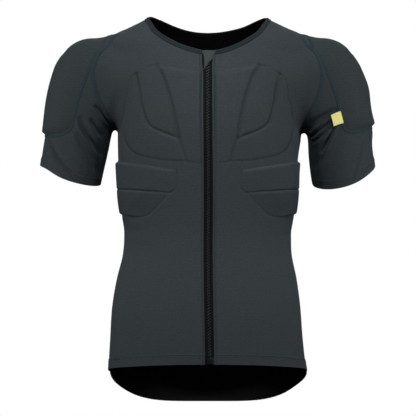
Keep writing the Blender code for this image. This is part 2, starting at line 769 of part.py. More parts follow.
def strip(name, acrosses, top, bottom, low, highs, colour, mirror=False):
    """A narrow piece down the zip, between two distances from the cloth's outer face."""
    rows = max(2, int((top - bottom) / ZIP_STEP) + 1)
    ups = np.linspace(bottom, top, rows)
    grid = seen(*np.meshgrid(acrosses, ups))
    points = grid.reshape(-1, 3)
    n = outward(points)
    high = np.tile(highs, rows)[:, None]
    side = np.array((-1.0 if mirror else 1.0, 1, 1))
    inner, outer = (points + low * n) * side, (points + high * n) * side
    wall(name, inner, outer, grid_faces(rows, len(acrosses)), colour)


def make_zip():
    """The tapes behind the front edges, the closed coil, the slider, the stop and the flap over the top."""
    under = -CLOTH - TAPE_CLEAR
    tape = (TAPE_INNER, (TAPE_INNER + TAPE_OUTER) / 2, TAPE_OUTER)
    for name, mirror in (("zip_tape_left", False), ("zip_tape_right", True)):
        strip(name, tape, ZIP_TOP, ZIP_BOTTOM, under - TAPE_THICK, [under] * 3, "tape", mirror)
    above = under + SEAM_GAP
    slider_end = ZIP_TOP - SLIDER_LENGTH
    stop_top = ZIP_BOTTOM + STOP_LENGTH
    coil = (-COIL_HALF, -COIL_HALF / 2, COIL_HALF / 2, COIL_HALF)
    crown = [above, COIL_CROWN, COIL_CROWN, above]
    strip("zip_coil", coil, slider_end - SEAM_GAP, stop_top + SEAM_GAP, under - TAPE_THICK, crown, "coil")
    slider = (-SLIDER_HALF, -SLIDER_HALF / 2, SLIDER_HALF / 2, SLIDER_HALF)
    hump = [SLIDER_RAISE / 2, SLIDER_RAISE, SLIDER_RAISE, SLIDER_RAISE / 2]
    strip("zip_slider", slider, ZIP_TOP, slider_end, above, hump, "coil")
    stop = (-STOP_HALF, 0.0, STOP_HALF)
    strip("zip_stop", stop, stop_top, ZIP_BOTTOM, above, [STOP_RAISE] * 3, "coil")
    corners = np.array(GARAGE_OUTLINE)
    closed = np.vstack([corners, corners[:1]])
    flat, faces = triangulate(even(closed, pieces(closed, LINE_STEP))[:-1], [], [], [], LINE_STEP)
    points = seen(flat[:, 0], flat[:, 1])
    n = outward(points)
    outer = points + (GARAGE_RAISE + GARAGE_THICK) * n
    wall("zip_garage", points + GARAGE_RAISE * n, outer, faces, "cloth")


def make_label():
    """The small label that stands out over the left sleeve beside the pad's seam."""
    sleeve = Sleeve(CUFF_DIP["left"])
    a, b, c, d = (np.array(p) for p in LABEL_CORNERS)
    s, t = (g.ravel()[:, None] for g in np.meshgrid(np.linspace(0, 1, 5), np.linspace(0, 1, 5)))
    plane = (a * (1 - s) + b * s) * (1 - t) + (d * (1 - s) + c * s) * t
    points = sleeve.surface(plane * SLEEVE_PLANE)
    n = outward(points)
    low = LABEL_LOW + (LABEL_HIGH - LABEL_LOW) * (1 - s)
    wall("sleeve_label", points + low * n, points + (low + LABEL_THICK) * n, grid_faces(5, 5), "label")


# Build

for thing in list(bpy.data.objects):
    bpy.data.objects.remove(thing)
vest = bpy.data.collections.new(VEST)
bpy.context.scene.collection.children.link(vest)
materials = {}
for label, colour in COLOURS.items():
    materials[label] = bpy.data.materials.new("vest_" + label)
    materials[label].use_nodes = True
    materials[label].node_tree.nodes["Principled BSDF"].inputs["Base Color"].default_value = colour
    materials[label].node_tree.nodes["Principled BSDF"].inputs["Roughness"].default_value = 0.75
make_fronts()
make_back()
make_binding()
for side in ("left", "right"):
    make_sleeve(side)
make_zip()
make_label()
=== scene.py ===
"""The protective vest dressed for its picture.

Cloth shells lie on the frame's own form, with sewn seams, a zip and a label. Lengths are in millimetres until
the meshes are made, in the frame of the part: +Z up, front facing -Y.
"""

import math

import bpy
import numpy as np
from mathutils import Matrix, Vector
from mathutils.bvhtree import BVHTree
from mathutils.kdtree import KDTree


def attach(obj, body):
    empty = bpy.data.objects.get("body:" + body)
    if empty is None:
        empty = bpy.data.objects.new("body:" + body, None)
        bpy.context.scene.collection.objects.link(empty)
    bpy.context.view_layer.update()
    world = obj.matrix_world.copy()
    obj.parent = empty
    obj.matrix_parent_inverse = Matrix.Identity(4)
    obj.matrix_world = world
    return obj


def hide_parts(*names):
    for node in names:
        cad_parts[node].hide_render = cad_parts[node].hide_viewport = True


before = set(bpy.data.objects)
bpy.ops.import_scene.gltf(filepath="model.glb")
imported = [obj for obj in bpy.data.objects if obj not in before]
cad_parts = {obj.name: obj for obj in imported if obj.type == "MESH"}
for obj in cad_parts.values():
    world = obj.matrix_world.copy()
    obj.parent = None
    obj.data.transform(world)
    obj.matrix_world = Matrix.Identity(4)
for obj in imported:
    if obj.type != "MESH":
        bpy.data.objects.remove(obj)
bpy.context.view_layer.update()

MM = 0.001
SIDES = (("left", 1), ("right", -1))

# Cloth, and the gap between neighbouring pieces
CLOTH = 1.5
SEAM_GAP = 0.3

# Neck binding: width, depth behind the form, height of its edges, further height of its middle
BINDING_WIDTH = 9.0
BINDING_DEPTH = 1.8
BINDING_RAISE = 0.5
BINDING_CROWN = 0.75
# Its two rows of ribs: height, pitch, distance from the middle and half width as shares of the width
BINDING_RIBS = (0.16, 2.1, 0.25, 0.2)
# The groove between them, and how much thinner it is at the neck edge: depth, half width as a share
BINDING_GROOVE = (0.35, 0.08)
BINDING_THINNED = (0.9, 0.2)
BINDING_POINTS = 200
BINDING_ROWS = 11
BINDING_REACH = 0.98

# Body rings from the hem up: height, half width, depth in front, depth behind
BODY_RINGS = np.array([
    (-720, 184, 116, 108), (-625, 182, 115, 106), (-570, 178, 113, 102), (-503, 173, 109, 96),
    (-459, 166, 106, 91), (-414, 156, 103, 87), (-381, 154, 103, 86), (-348, 156, 106, 88),
    (-303, 162, 112, 94), (-259, 165, 117, 101), (-215, 166, 120, 108), (-170, 165, 118, 113),
    (-130, 168, 112, 115), (-90, 180, 102, 112), (-50, 190, 88, 103), (-15, 188, 75, 90), (-4, 161, 72, 84),
    (7, 137, 69, 78), (18, 116, 66, 72), (30, 102, 63, 66), (60, 95, 60, 60),
], float)
RING_POWER = 2.35

# Arm rings from the shoulder joint down: distance, radius across, radius front to back
ARM_RINGS = np.array([
    (0, 66, 63), (60, 65, 64), (115, 60.5, 61), (150, 59, 59), (190, 58, 58), (240, 58, 57),
], float)
SHOULDER_JOINT = np.array((218.0, 4.0, -84.0))
CUFF_CENTRE = np.array((254.0, 2.0, -268.0))
CUFF_LIFT = math.radians(17.5)
CUFF_DIP = {"left": 0.38, "right": 0.21}

# How far the arm's form melts into the body's: height, reach
ARMHOLE_MELT = np.array([
    (-300, 14), (-195, 16), (-172, 40), (-140, 62), (-110, 66), (-60, 50), (-20, 22), (0, 18),
], float)

# Armhole seam of the left side seen from the front, from the armpit up: across, up
ARMHOLE_SEAM = np.array([
    (180.4, -169.5), (192, -145), (201, -125.7), (207, -103.8), (209.4, -80.4), (205.8, -61),
    (194.6, -41.7), (179, -26.2),
], float)
ARMPIT = np.array((166.0, 8.0, -188.0))
SHOULDER_TOP_HEIGHT = 1.0
SLEEVE_HUB = np.array((176.0, 2.0, -92.0))
SLEEVE_BEND = np.array((240.0, 2.0, -130.0))

# Hem, side seam and front edges
HEM_FRONT = -612.0
HEM_BACK = -695.0
HEM_BEND = {-1: 2.0, 1: 3.8}
HEM_ROWS = 0.3
SIDE_SEAM_BACK = 30.0
SIDE_SEAM_HEIGHTS = (-632, -500, -380, -300, -250, -222)
ZIP_GAP = 8.0

# Neck edge of the left side, from the middle out: across, up
NECK_FRONT = np.array([(8.0, -41.3), (24, -37.8), (43, -32.6), (70, -19.9), (89.5, -7.2), (102, 10)],
                      float)
NECK_BACK = np.array([(0.0, 0.1), (20, 1.3), (40, 4.8), (63, 11.9), (85, 20.5)], float)
NECK_SIDE_HEIGHT = 23.0

# Point inside a half of the body from which a panel's rows are sighted
PANEL_HUB = np.array((60.0, 15.0))
PANEL_HUB_TOP = -60.0
PANEL_HUB_LIFT = 75.0
PANEL_HUB_REACH = 60.0
PANEL_HUB_FADE = 0.4

# Pad lines of the left front seen from the front: across, up
PAD_LINES = {
    "top_inner": [(13.6, -81.7), (39.8, -78.8), (65.2, -72.2), (92.5, -68.8)],
    "top_middle": [(92.5, -68.8), (114, -75.3), (130.8, -85.5)],
    "top_outer": [(130.8, -85.5), (137.2, -89.4), (141.8, -95.6)],
    "outer": [(141.8, -95.6), (146.1, -118.2), (152.5, -150.6), (155.4, -179.4), (152, -205.3),
              (143.7, -221)],
    "low_outer": [(143.7, -221), (127.5, -232.8), (104.8, -238.9), (75.7, -243.7), (40.5, -245.6)],
    "low_inner": [(40.5, -245.6), (13.5, -249.2)],
    "zip_side": [(13.5, -249.2), (13.6, -81.7)],
    "slant_high": [(92.5, -68.8), (81.4, -90.5), (71.3, -118), (61.3, -156.3), (53.1, -203.3)],
    "slant_low": [(53.1, -203.3), (45.9, -224.9), (40.5, -245.6)],
    "cup_side": [(130.8, -85.5), (125.2, -106.1), (118.7, -144.5), (110.3, -173.7)],
    "cup_low": [(110.3, -173.7), (103.5, -181.5), (93.9, -187.6), (75.0, -195.8), (53.1, -203.3)],
    "rib_top": [(58.6, -260.8), (99.4, -254.3), (136.3, -248.1)],
    "rib_inner": [(58.6, -260.8), (57, -278.8), (59.5, -295.9), (68.6, -301.9)],
    "rib_middle": [(68.6, -301.9), (108.6, -298.5), (140, -296)],
    "rib_slant": [(68.6, -301.9), (88.6, -322.1), (106.1, -340.2), (118.1, -345.6)],
    "rib_low": [(118.1, -345.6), (138.6, -345)],
}
# Rib pad lines that run on round the side: height there
RIB_SIDE_HEIGHTS = {"rib_top": -243.5, "rib_middle": -294.5, "rib_low": -342.0}
RIB_SIDE_FRONT = -25.0
RIB_SIDE_BACK = 20.0
# Each group of pads: its height, where it thins out (axis, from, to, least share) and its edge lines, with -1
# for a line taken backwards
PADS = {
    "chest": (4.8, ((2, -250, -150, 0.18), (0, 12, 60, 0.4)),
              (("top_inner", 1), ("top_middle", 1), ("top_outer", 1), ("outer", 1), ("low_outer", 1),
               ("low_inner", 1), ("zip_side", 1))),
    "ribs": (5.4, ((0, 56, 130, 0.3), (2, -348, -300, 0.7)),
             (("rib_top", 1), ("rib_back_high", 1), ("rib_back_low", 1), ("rib_low", -1), ("rib_slant", -1),
              ("rib_inner", -1))),
}
# How the foam falls away at each kind of edge: width, roundness
PAD_EDGES = {
    "top_inner": (9.0, 1.2),
    "top_middle": (6.2, 1.5),
    "top_outer": (4.5, 1.5),
    "outer": (13.0, 2.0),
    "low": (6.0, 1.6),
    "zip": (3.4, 2.0),
    "rib_top": (4.2, 1.5),
    "rib_back": (13.0, 1.7),
    "rib_low": (5.0, 2.0),
    "rib_slant": (34.0, 1.1),
    "rib_inner": (13.0, 1.3),
}
# Sewn lines across the foam and round its edge: depth, half width
PAD_DIPS = {
    "slant_high": (4.1, 3.0),
    "slant_low": (4.6, 2.2),
    "cup_side": (4.2, 3.1),
    "cup_low": (2.2, 3.1),
    "top_middle": (1.8, 1.1),
    "top_outer": (2.2, 1.1),
    "outer": (2.4, 1.1),
    "rib_middle": (1.5, 1.5),
    "rib_inner": (2.0, 1.2),
    "rib_slant": (1.6, 1.1),
}
# A sewn line is at its full depth where the foam is this high, and has this share of it where there is none
DIP_FULL = 3.0
DIP_LEAST = 0.45
# Radius at which the trunk is laid flat to tell what lies inside a pad's edge
UNROLL_RADIUS = 120.0

# Shoulder pad cover in the sleeve's own plane, from its top down the front: around, down
SHOULDER_OUTLINE = np.array([
    (0.500, 0.118), (0.462, 0.112), (0.425, 0.098), (0.385, 0.072), (0.345, 0.050), (0.315, 0.052),
    (0.292, 0.100), (0.275, 0.200), (0.265, 0.330), (0.258, 0.450), (0.254, 0.540), (0.266, 0.620),
    (0.305, 0.690), (0.370, 0.748), (0.440, 0.785), (0.500, 0.800),
], float)
# How far each side's cover reaches down below the middle, against the outline above
COVER_REACH = {"left": 0.90, "right": 1.10}
# How high the cover stands: share of the way down the sleeve, height
COVER_RAISE = np.array([
    (0.0, 0.7), (0.3, 0.9), (0.42, 2.2), (0.52, 4.2), (0.6, 5.8), (0.72, 7.0), (0.9, 7.0),
], float)
# Width over which it rounds up from its seam, at the front and back and at its foot
COVER_DOME = (30.0, 5.0)
COVER_DOME_POWER = 2.0
# Where its foot is: share of the way down, over what further share it begins, half width around
COVER_FOOT = (0.58, 0.14, 0.11)

# Distance from a seam at which a sleeve's creases reach their full depth
FOLD_CLEAR = 6.0

# Zip down the middle of the front: its ends, and its tapes' edges, thickness and depth behind the cloth
ZIP_TOP = -47.0
ZIP_BOTTOM = -611.5
TAPE_INNER = 0.4
TAPE_OUTER = 15.0
TAPE_THICK = 0.8
TAPE_CLEAR = 0.7
# How far a tape rises beside the coil: height, half width
TAPE_RISE = (0.25, 1.0)
TAPE_ROWS = 190
TAPE_COLUMNS = 9
# Front of the tapes and back of the moulded parts, from the cloth's outer face
TAPE_FACE = -CLOTH - TAPE_CLEAR
MOULDED_BACK = TAPE_FACE + SEAM_GAP
# How far the film on the end of the left tape reaches above the stop
FILM_REACH = 1.0
# Turns of the coil: pitch, climb across the zip, depth of their middle, stretch from back to front, and how
# much higher the left side's are
COIL_PITCH = 5.2
COIL_LEAN = 0.55
COIL_DEPTH = 0.75
COIL_STRETCH = 1.2
COIL_SHIFT = 0.95
# Distances of the first turn from the slider and of the last one from the stop
COIL_ENDS = (3.6, 3.0)
# Rings of one turn: across, radius
COIL_RINGS = [(-2.9, 0.4), (-2.5, 0.9), (-0.5, 0.95), (0.0, 0.9), (0.4, 0.4)]
COIL_SIDES = 6
SLIDER_HALF = 4.4
SLIDER_LENGTH = 13.0
SLIDER_RAISE = 1.6
SLIDER_END = ZIP_TOP - SLIDER_LENGTH
# Ridge down the slider's face, height and half width, and how far the face is lowered
SLIDER_RIDGE = (0.7, 1.1)
SLIDER_SUNK = 0.6
# Points across the slider and along it, and how squarely it is rounded off across and along
SLIDER_GRID = (15, 19)
SLIDER_ROUND = (6, 8)
STOP_HALF = 4.6
STOP_LENGTH = 11.0
STOP_RAISE = 1.2
STOP_TOP = ZIP_BOTTOM + STOP_LENGTH
# Slit down the stop's face: depth, half width
STOP_SLIT = (0.8, 0.5)
# Points across the stop and along it, and how squarely it is rounded off both ways
STOP_GRID = (15, 15)
STOP_ROUND = 8
# Share of a moulded part's half width that its rounding takes in
ROUND_REACH = 0.97
# Pin beside the coil at the bottom: across, half width, length above the box and in it, height, thickness
PIN_ACROSS = 2.6
PIN_HALF = 0.5
PIN_LENGTH = 17.0
PIN_TUCK = 2.0
PIN_LOW = 0.5
PIN_THICK = 0.7
# Points across the pin and along it, and how squarely it is rounded off across
PIN_GRID = (7, 12)
PIN_ROUND = 4
# Folded flap over the top of the zip, seen from the front: across, up
GARAGE_FREE = [(14.6, -41.6), (9.2, -54.6), (1.4, -66.0), (-8.1, -79.8)]
GARAGE_SEWN = [(-10.3, -42.2), (-7.3, -52.0), (-6.4, -62.0), (-6.6, -72.0), (-8.1, -79.8)]
# Height of its back, thickness, and how far its face and its back arch
GARAGE_RAISE = 1.9
GARAGE_THICK = 1.2
GARAGE_ARCH = (0.5, 0.25)
# How far it is drawn down at its sewn edge: depth, reach as a share of its width
GARAGE_DRAWN = (0.8, 0.2)
# Sewn line beside its free edge: distance, half width, depth
GARAGE_LINE = (2.0, 0.6, 0.7)
# Points along its edges before they are divided, points along it and across it, and the share of its length
# that is made, short of its tip
GARAGE_POINTS = 200
GARAGE_GRID = (56, 44)
GARAGE_REACH = 0.985
# The right front draws back beside the flap: how far, round which height, over what reach up and across
FLAP_GAP = (2.7, -60, 13, 7)

# Height below which the back's lining takes a paler black: painted light that brightens the inside of the hem
PAINTED_LIGHT_BELOW = -560

# Sleeve label in the left sleeve's own plane: around, down at its four corners
LABEL_CORNERS = [(0.203, 0.352), (0.262, 0.442), (0.264, 0.552), (0.203, 0.482)]
# Its thickness, its height at the seam and at its free edge, and how the height falls between
LABEL_THICK = 1.0
LABEL_LOW = 0.5
LABEL_HIGH = 3.6
LABEL_FALL = 1.4
# Its raised free edge and the sewn line at the seam: height, place as a share across, half width
LABEL_HEM = (0.25, 0.04, 0.05)
LABEL_LINE = (-0.2, 0.86, 0.03)
LABEL_POINTS = 22
# Its dark backing, which reaches out past the label's free edge as a painted shadow of the label: share
# across, share down, height of its back and its face
SHADOW_SHEET_ACROSS = (-0.17, 0.42)
SHADOW_SHEET_DOWN = (0.02, 0.98)
SHADOW_SHEET_HEIGHTS = (1.0, 1.6)
SHADOW_SHEET_POINTS = 12

# How a sight line is walked: most steps, shortest step, share of the distance still free, and how often the
# last step is halved
CAST_STEPS = 90
CAST_STEP = 4.0
CAST_SHARE = 0.35
CAST_HALVINGS = 22
# How far to either side the form's slope is taken
SLOPE_STEP = 0.4

# How finely smooth lines, seam lines and the rows of a panel are followed
SPLINE_POINTS = 400
LINE_POINTS = 160
ROWS = 150
# Share of the neck edge that the binding's seam follows, and through how many points
NECK_SEAM_KEPT = 0.86
NECK_SEAM_POINTS = 7
# Flat sizes that the panels' own planes are drawn at: width, length below the armpit, length above it
PANEL_PLANE = (215.0, 440.0, 250.0)
PANEL_NECK_SHARE = 0.6
SLEEVE_PLANE = (430.0, 220.0)

COARSE = 1.0
# Edges bent by more than this aren't smoothed
SHARP_EDGE = math.radians(50)

# Camera and floor: places in metres, the lens and its sensor in millimetres
CAMERA_PLACE = (0.00056, -4.5, -0.3293)
CAMERA_LENS = 210.5
CAMERA_SENSOR = 36.0
CAMERA_CLIP = 50.0
FLOOR_HEIGHT = -1.4
FLOOR_REACH = 5.0
FLOOR_SIDES = 96
FLOOR_GLOW = 0.55
FLOOR_LOOK = ("pale_floor", (0.9, 0.9, 0.9), 0.9)
FLOOR_WEAVE = {"weave": 0.02, "weave_depth": 0.0001, "weave_share": 0.005, "speck": 0.005}
WHITE = (1.0, 1.0, 1.0, 1.0)

# Light from all round, its strength and tint, and lights: place, aim, width, height, spread in degrees, power
WORLD_LIGHT = 0.06
WORLD_TINT = (0.97, 0.99, 1.0, 1.0)
LIGHTS = {
    "left_side": ((-2.2, -1.45, 0.5), (-0.29, 0.0, -0.18), 0.4, 1.1, 15, 1.3),
    "right_side": ((2.2, -1.45, 0.5), (0.29, 0.0, -0.18), 0.4, 1.1, 15, 1.3),
    "middle": ((0.0, -1.85, 1.75), (0.0, 0.0, -0.16), 0.3, 0.9, 15, 1.22),
    "behind": ((0.0, 2.8, 1.4), (0.0, 0.0, -0.3), 2.4, 2.4, 180, 150.0),
}

# Sewn grooves round the pads: depth, half width
GROOVE_DEPTH = 0.65
GROOVE_HALF = 1.0
# Turned-up hem and cuffs: width, extra thickness, width of the step at its end
HEM_FOLD = 18.0
CUFF_FOLD = 14.0
FOLD_RAISE = 0.9
FOLD_STEP = 1.5
# Dip of the sewing inside the end of the turn-up: distance, half width, depth
FOLD_LINE = (1.6, 0.9, 0.6)
# Front edges beside the zip, each as distance, half width, height: the roll, the sewn line, the dip beyond it
EDGE_ROLL = (1.8, 1.5, 1.2)
EDGE_LINE = (4.6, 0.9, -1.2)
EDGE_DIP = (12.0, 2.4, -0.4)
# How cloth draws in along a seam: half width, depth
SEAM_DIP = (3.5, 0.6)
# Flat sewn seams: half width, height at the edges, further height of the middle, depth of the back
SEAM_HALF = 3.4
SIDE_SEAM_HALF = SEAM_HALF * 0.8
SHOULDER_SEAM_HALF = SEAM_HALF * 1.25
SEAM_RAISE = 0.25
SEAM_CROWN = 0.4
SEAM_SUNK = 0.2
# Their two rows of thread: place and half width as shares of the seam's half width, height
SEAM_ROWS = (0.62, 0.2, 0.2)
# Their slanting threads: pitch, points in a pitch, height, slant
SEAM_PITCH = 1.8
SEAM_STEPS = 2.6
SEAM_TWIST = 0.13
SEAM_SLANT = 2.4
SEAM_COLUMNS = 7
# The shoulder seam lies forward of the solids' join, between these shares of its length
SHOULDER_SEAM_FORWARD = 3.8
SHOULDER_SEAM_ENDS = (0.03, 0.95)
# Points of the shoulder and underarm seams before they are divided
SEAM_POINTS = 60
# How far below the armpit the underarm seam begins, and how many points the side seam leaves off under it
UNDERARM_SHORT = 5
SIDE_SEAM_SHORT = 4
# Single stitches: pitch, share of it that shows, half thickness, the same beside the zip, and the share of it
# that they stand out
STITCH_PITCH = 2.4
STITCH_SHARE = 0.78
STITCH_THICK = 0.34
EDGE_STITCH_THICK = 0.3
STITCH_PROUD = 0.3
# Distances of the two rows of stitches from the end of a turned-up edge
STITCH_ROWS = (0.6, 3.4)
# Distances of the stitches beside the zip from hem and neck
EDGE_STITCH_ENDS = (3, 12)
# Shares of a panel's width and of the way round a cuff between which stitches run, and the share of the way
# down a sleeve towards which a cuff's stitches are set in from its rim
HEM_STITCHED = (0.01, 0.985)
CUFF_STITCHED = (0.02, 0.98)
CUFF_AIM = 0.9
# Points of a hem line, and of the other lines, before they are divided
HEM_LINE_POINTS = 90
STITCH_LINE_POINTS = 120
# One stitch as a tapered thread, and its faces: share along it, across it, out of the cloth
STITCH_BODY = np.array([
    (0, 0, -1), (0.2, 1, 0), (0.2, 0, 1), (0.2, -1, 0), (0.8, 1, 0), (0.8, 0, 1), (0.8, -1, 0), (1, 0, -1),
], float)
STITCH_FACES = [(0, 1, 2), (0, 2, 3), (0, 3, 1), (1, 4, 5, 2), (2, 5, 6, 3), (3, 6, 4, 1), (7, 5, 4),
                (7, 6, 5), (7, 4, 6)]
# Ridge beside a crease's trough: height, distance and half width as shares of the trough's own
CREASE_RIDGE = (0.55, 1.7, 0.9)
# Flat width round the cover's seam before it rounds up, and the point its rings are drawn round
COVER_MARGIN = 1.5
COVER_CENTRE = np.array((0.5, 0.45)) * SLEEVE_PLANE

# How meshes are divided, as a start and then the end of each stretch with its step
PANEL_EDGE = 0.15
PANEL_END = PANEL_PLANE[1] + PANEL_PLANE[2] - PANEL_EDGE
PANEL_SPLIT = PANEL_PLANE[1] + PANEL_PLANE[2] / 2
FRONT_ACROSS = [(PANEL_EDGE, 1), (14, 1.2), (PANEL_PLANE[0] - PANEL_EDGE, 1.8)]
FRONT_ROWS = [(0, 1), (14, 3.5), (21, 0.7), (262, 4.2), (560, 1.7), (PANEL_END, 2.8)]
BACK_ACROSS = [(0, 1), (PANEL_PLANE[0] - PANEL_EDGE, 3.3)]
BACK_ROWS = [(0, 1), (14, 3.5), (21, 0.9), (PANEL_PLANE[1], 3.9), (PANEL_SPLIT, 3.4), (PANEL_END, 3.2)]
SLEEVE_EDGE = 0.2
SLEEVE_AROUND = [(SLEEVE_EDGE, 1), (SLEEVE_PLANE[0] - SLEEVE_EDGE, 2.1)]
SLEEVE_DOWN = [(SLEEVE_EDGE, 1), (SLEEVE_PLANE[1], 5.0)]
SLEEVE_OUT = [(0.003, 1), (1, 0.021)]
COVER_RINGS = [(0.997, 1), (0.8, 0.016), (0.06, 0.03)]
COVER_POINTS = 300

# Looks: name, colour on the screen's scale, roughness, and the values in which they differ from a plain look.
# weave is the knit's size and weave_depth its height, in metres. weave_share and speck together tell how far
# it breaks up the colour, and grain how much of it is uneven
LOOKS = {
    "cloth": ("stretch_cloth", (52, 57, 60), 0.82,
              dict(sheen=0.02, weave=0.0026, weave_share=0.09, speck=0.1, shine=0.0, grain=0.78)),
    "cover": ("pad_cover_cloth", (52, 57, 59), 0.86,
              dict(sheen=0.02, weave=0.0028, weave_share=0.09, speck=0.1, shine=0.0, grain=0.72)),
    "inside": ("black_inside", (9, 9, 10), 0.95, dict(shine=0.03)),
    # A paler copy of the black lining, used low in the back: painted light inside the hem
    "inside_painted_light": ("black_inside_painted_light", (29, 29, 31), 0.95, dict(shine=0.03)),
    "thread": ("seam_thread", (44, 55, 59), 0.7,
               dict(sheen=0.02, weave=0.0022, weave_share=0.1, speck=0.12, shine=0.0)),
    "binding": ("neck_binding_knit", (35, 41, 44), 0.75, dict(sheen=0.02, weave=0.0012, shine=0.0)),
    "tape": ("zip_tape_weave", (11, 14, 15), 0.8, dict(weave=0.0010)),
    "coil": ("zip_coil_plastic", (48, 52, 54), 0.55, dict(weave=0.0030, weave_depth=0.00002, shine=0.14)),
    "plastic": ("stop_plastic", (15, 18, 19), 0.6, dict(weave=0.0030, weave_depth=0.00002)),
    "pin": ("pin_plastic", (46, 50, 52), 0.5, dict(weave=0.0030, weave_depth=0.00002, shine=0.14)),
    "film": ("tape_end_film", (12, 38, 43), 0.5, dict(weave=0.0010, shine=0.2)),
    "flap": ("flap_cloth", (53, 58, 60), 0.82, dict(sheen=0.04, weave=0.0026)),
    "stitch": ("stitch_thread", (38, 44, 47), 0.7, dict(weave=0.0008, shine=0.0)),
    "label": ("label_weave", (226, 221, 140), 0.7, dict(weave=0.0011, weave_share=0.04, speck=0.04)),
}
# What all looks share: roughness of their sheen, bend and detail of the knit, detail of the unevenness, where
# the darker colour ends and the paler one begins, and strength of the bump
SHEEN_ROUGH = 0.45
KNIT_BEND = 2.0
KNIT_DETAIL = 3.0
GRAIN_DETAIL = 3.0
TONE_STOPS = (0.25, 0.75)
BUMP_STRENGTH = 0.6

# Where the worn cloth sits a little off the plain form: middle across, back and up, reach, move across, back
# and up
SHIFTS = [
    (178, 0, -190, 32, 8, 0, 0), (196, 0, -285, 40, -6, 0, 0), (-287, -25, -268, 26, 4, 0, 6),
    (-205, 0, -12, 26, 0, 0, 2.8), (202, 0, -12, 26, 0, 0, 3.5), (302, 0, -180, 24, 6, 0, -5),
    (180, 45, -632, 30, 9, 0, -2), (-180, 50, -638, 32, -4, 0, -2), (-274, 0, -42, 36, 5, 0, -1),
    (277, 0, -42, 36, -6, 0, -1), (297, 0, -105, 28, 3, 0, 0), (-174, 0, -188, 24, -1, 0, 6),
    (287, -25, -270, 30, -4, 0, 2), (172, 0, -290, 26, 2.5, 0, 0), (-164, 0, -336, 26, -2.5, 0, 0),
    (166, 0, -336, 26, 3, 0, 0), (20, -100, -38, 45, 0, 0, -3), (85, 20, 14, 40, 1, 0, -3),
    (60, 50, 3, 26, 4, 0, -3), (150, -70, -290, 75, 4, 0, 0), (180, 0, -530, 110, -3, 0, 0),
    (-180, 0, -530, 110, -3, 0, 0), (0, -110, -600, 130, 3.2, 0, 0), (0, -110, -300, 130, 1.0, 0, 0),
]

# Points along a crease of the body, and along one of a sleeve
BODY_FOLD_POINTS = 40
SLEEVE_FOLD_POINTS = 50
# Soft creases of the body: side, facing, start across, start up, end across, end up, half width, depth
BODY_FOLDS = [
    (1, -1, 158, -372, 118, -388, 9, 0.9), (1, -1, 150, -408, 96, -420, 11, 0.7),
    (-1, -1, 157, -366, 122, -376, 9, 0.8), (-1, -1, 150, -398, 88, -416, 12, 0.8),
    (1, -1, 172, -160, 158, -118, 9, 1.0), (-1, -1, 172, -158, 160, -112, 8, 1.0),
    (1, 1, 150, -372, 40, -398, 11, 2.7), (-1, 1, 148, -360, 55, -380, 10, 2.5),
    (1, 1, 140, -424, 62, -430, 12, 1.9), (-1, 1, 146, -410, 30, -436, 12, 2.4),
    (1, 1, 168, -178, 96, -232, 10, 2.4), (-1, 1, 166, -180, 108, -246, 11, 2.5),
    (-1, 1, 160, -150, 118, -176, 9, 1.7), (1, 1, 158, -140, 120, -158, 9, 1.5),
]
# Soft creases of the sleeves: start around, start down, end around, end down, half width, depth
SLEEVE_FOLDS = {
    "left": [
        (0.250, 0.395, 0.080, 0.115, 4.0, 4.9), (0.205, 0.345, 0.055, 0.175, 3.6, 4.3),
        (0.195, 0.410, 0.060, 0.340, 3.4, 3.0), (0.207, 0.470, 0.108, 0.660, 3.4, 6.1),
        (0.188, 0.460, 0.065, 0.455, 3.8, 3.8), (0.240, 0.610, 0.150, 0.760, 7.0, 1.2),
        (0.375, 0.790, 0.275, 0.965, 4.5, 2.4), (0.120, 0.700, 0.035, 0.830, 7.0, 1.6),
        (0.745, 0.330, 0.900, 0.140, 5.5, 2.8), (0.790, 0.440, 0.930, 0.350, 4.5, 2.3),
        (0.785, 0.480, 0.900, 0.650, 4.5, 2.8), (0.640, 0.850, 0.730, 0.960, 7.0, 1.6),
        (0.840, 0.700, 0.940, 0.820, 6.0, 1.6),
    ],
    "right": [
        (0.440, 0.815, 0.225, 0.955, 2.6, 4.6), (0.178, 0.130, 0.080, 0.000, 4.4, 4.4),
        (0.225, 0.440, 0.065, 0.690, 5.0, 5.9), (0.168, 0.340, 0.085, 0.415, 4.2, 4.9),
        (0.225, 0.615, 0.095, 0.780, 5.4, 4.1), (0.320, 0.775, 0.225, 0.890, 5.0, 1.4),
        (0.130, 0.800, 0.040, 0.900, 7.0, 1.4), (0.750, 0.300, 0.885, 0.120, 5.5, 2.8),
        (0.775, 0.430, 0.925, 0.640, 5.0, 3.0), (0.830, 0.360, 0.930, 0.420, 4.5, 2.3),
        (0.620, 0.860, 0.720, 0.950, 6.0, 1.8), (0.780, 0.640, 0.900, 0.790, 6.0, 1.8),
    ],
}


# The form

def unit(vectors):
    """Vectors brought to length 1."""
    return vectors / np.linalg.norm(vectors, axis=-1, keepdims=True)


def through(table, column, at):
    """A smooth curve through one column of a table, against its first column."""
    xs, ys = table[:, 0], table[:, column]
    slopes = np.gradient(ys, xs)
    i = np.clip(np.searchsorted(xs, at) - 1, 0, len(xs) - 2)
    step = xs[i + 1] - xs[i]
    t = np.clip((at - xs[i]) / step, 0, 1)
    ends = ys[i] * (1 + 2 * t) * (1 - t) ** 2 + ys[i + 1] * t * t * (3 - 2 * t)
    return ends + step * (slopes[i] * t * (1 - t) ** 2 + slopes[i + 1] * t * t * (t - 1))


def body_distance(p):
    """Signed distance, measured level, from the body rings."""
    x, y, z = p[..., 0], p[..., 1], p[..., 2]
    wide = through(BODY_RINGS, 1, z)
    deep = np.where(y < 0, through(BODY_RINGS, 2, z), through(BODY_RINGS, 3, z))
    share = (np.abs(x / wide) ** RING_POWER + np.abs(y / deep) ** RING_POWER) ** (1 / RING_POWER)
    reach = np.hypot(x, y) + 1e-9
    return reach - reach / np.maximum(share, 1e-6)


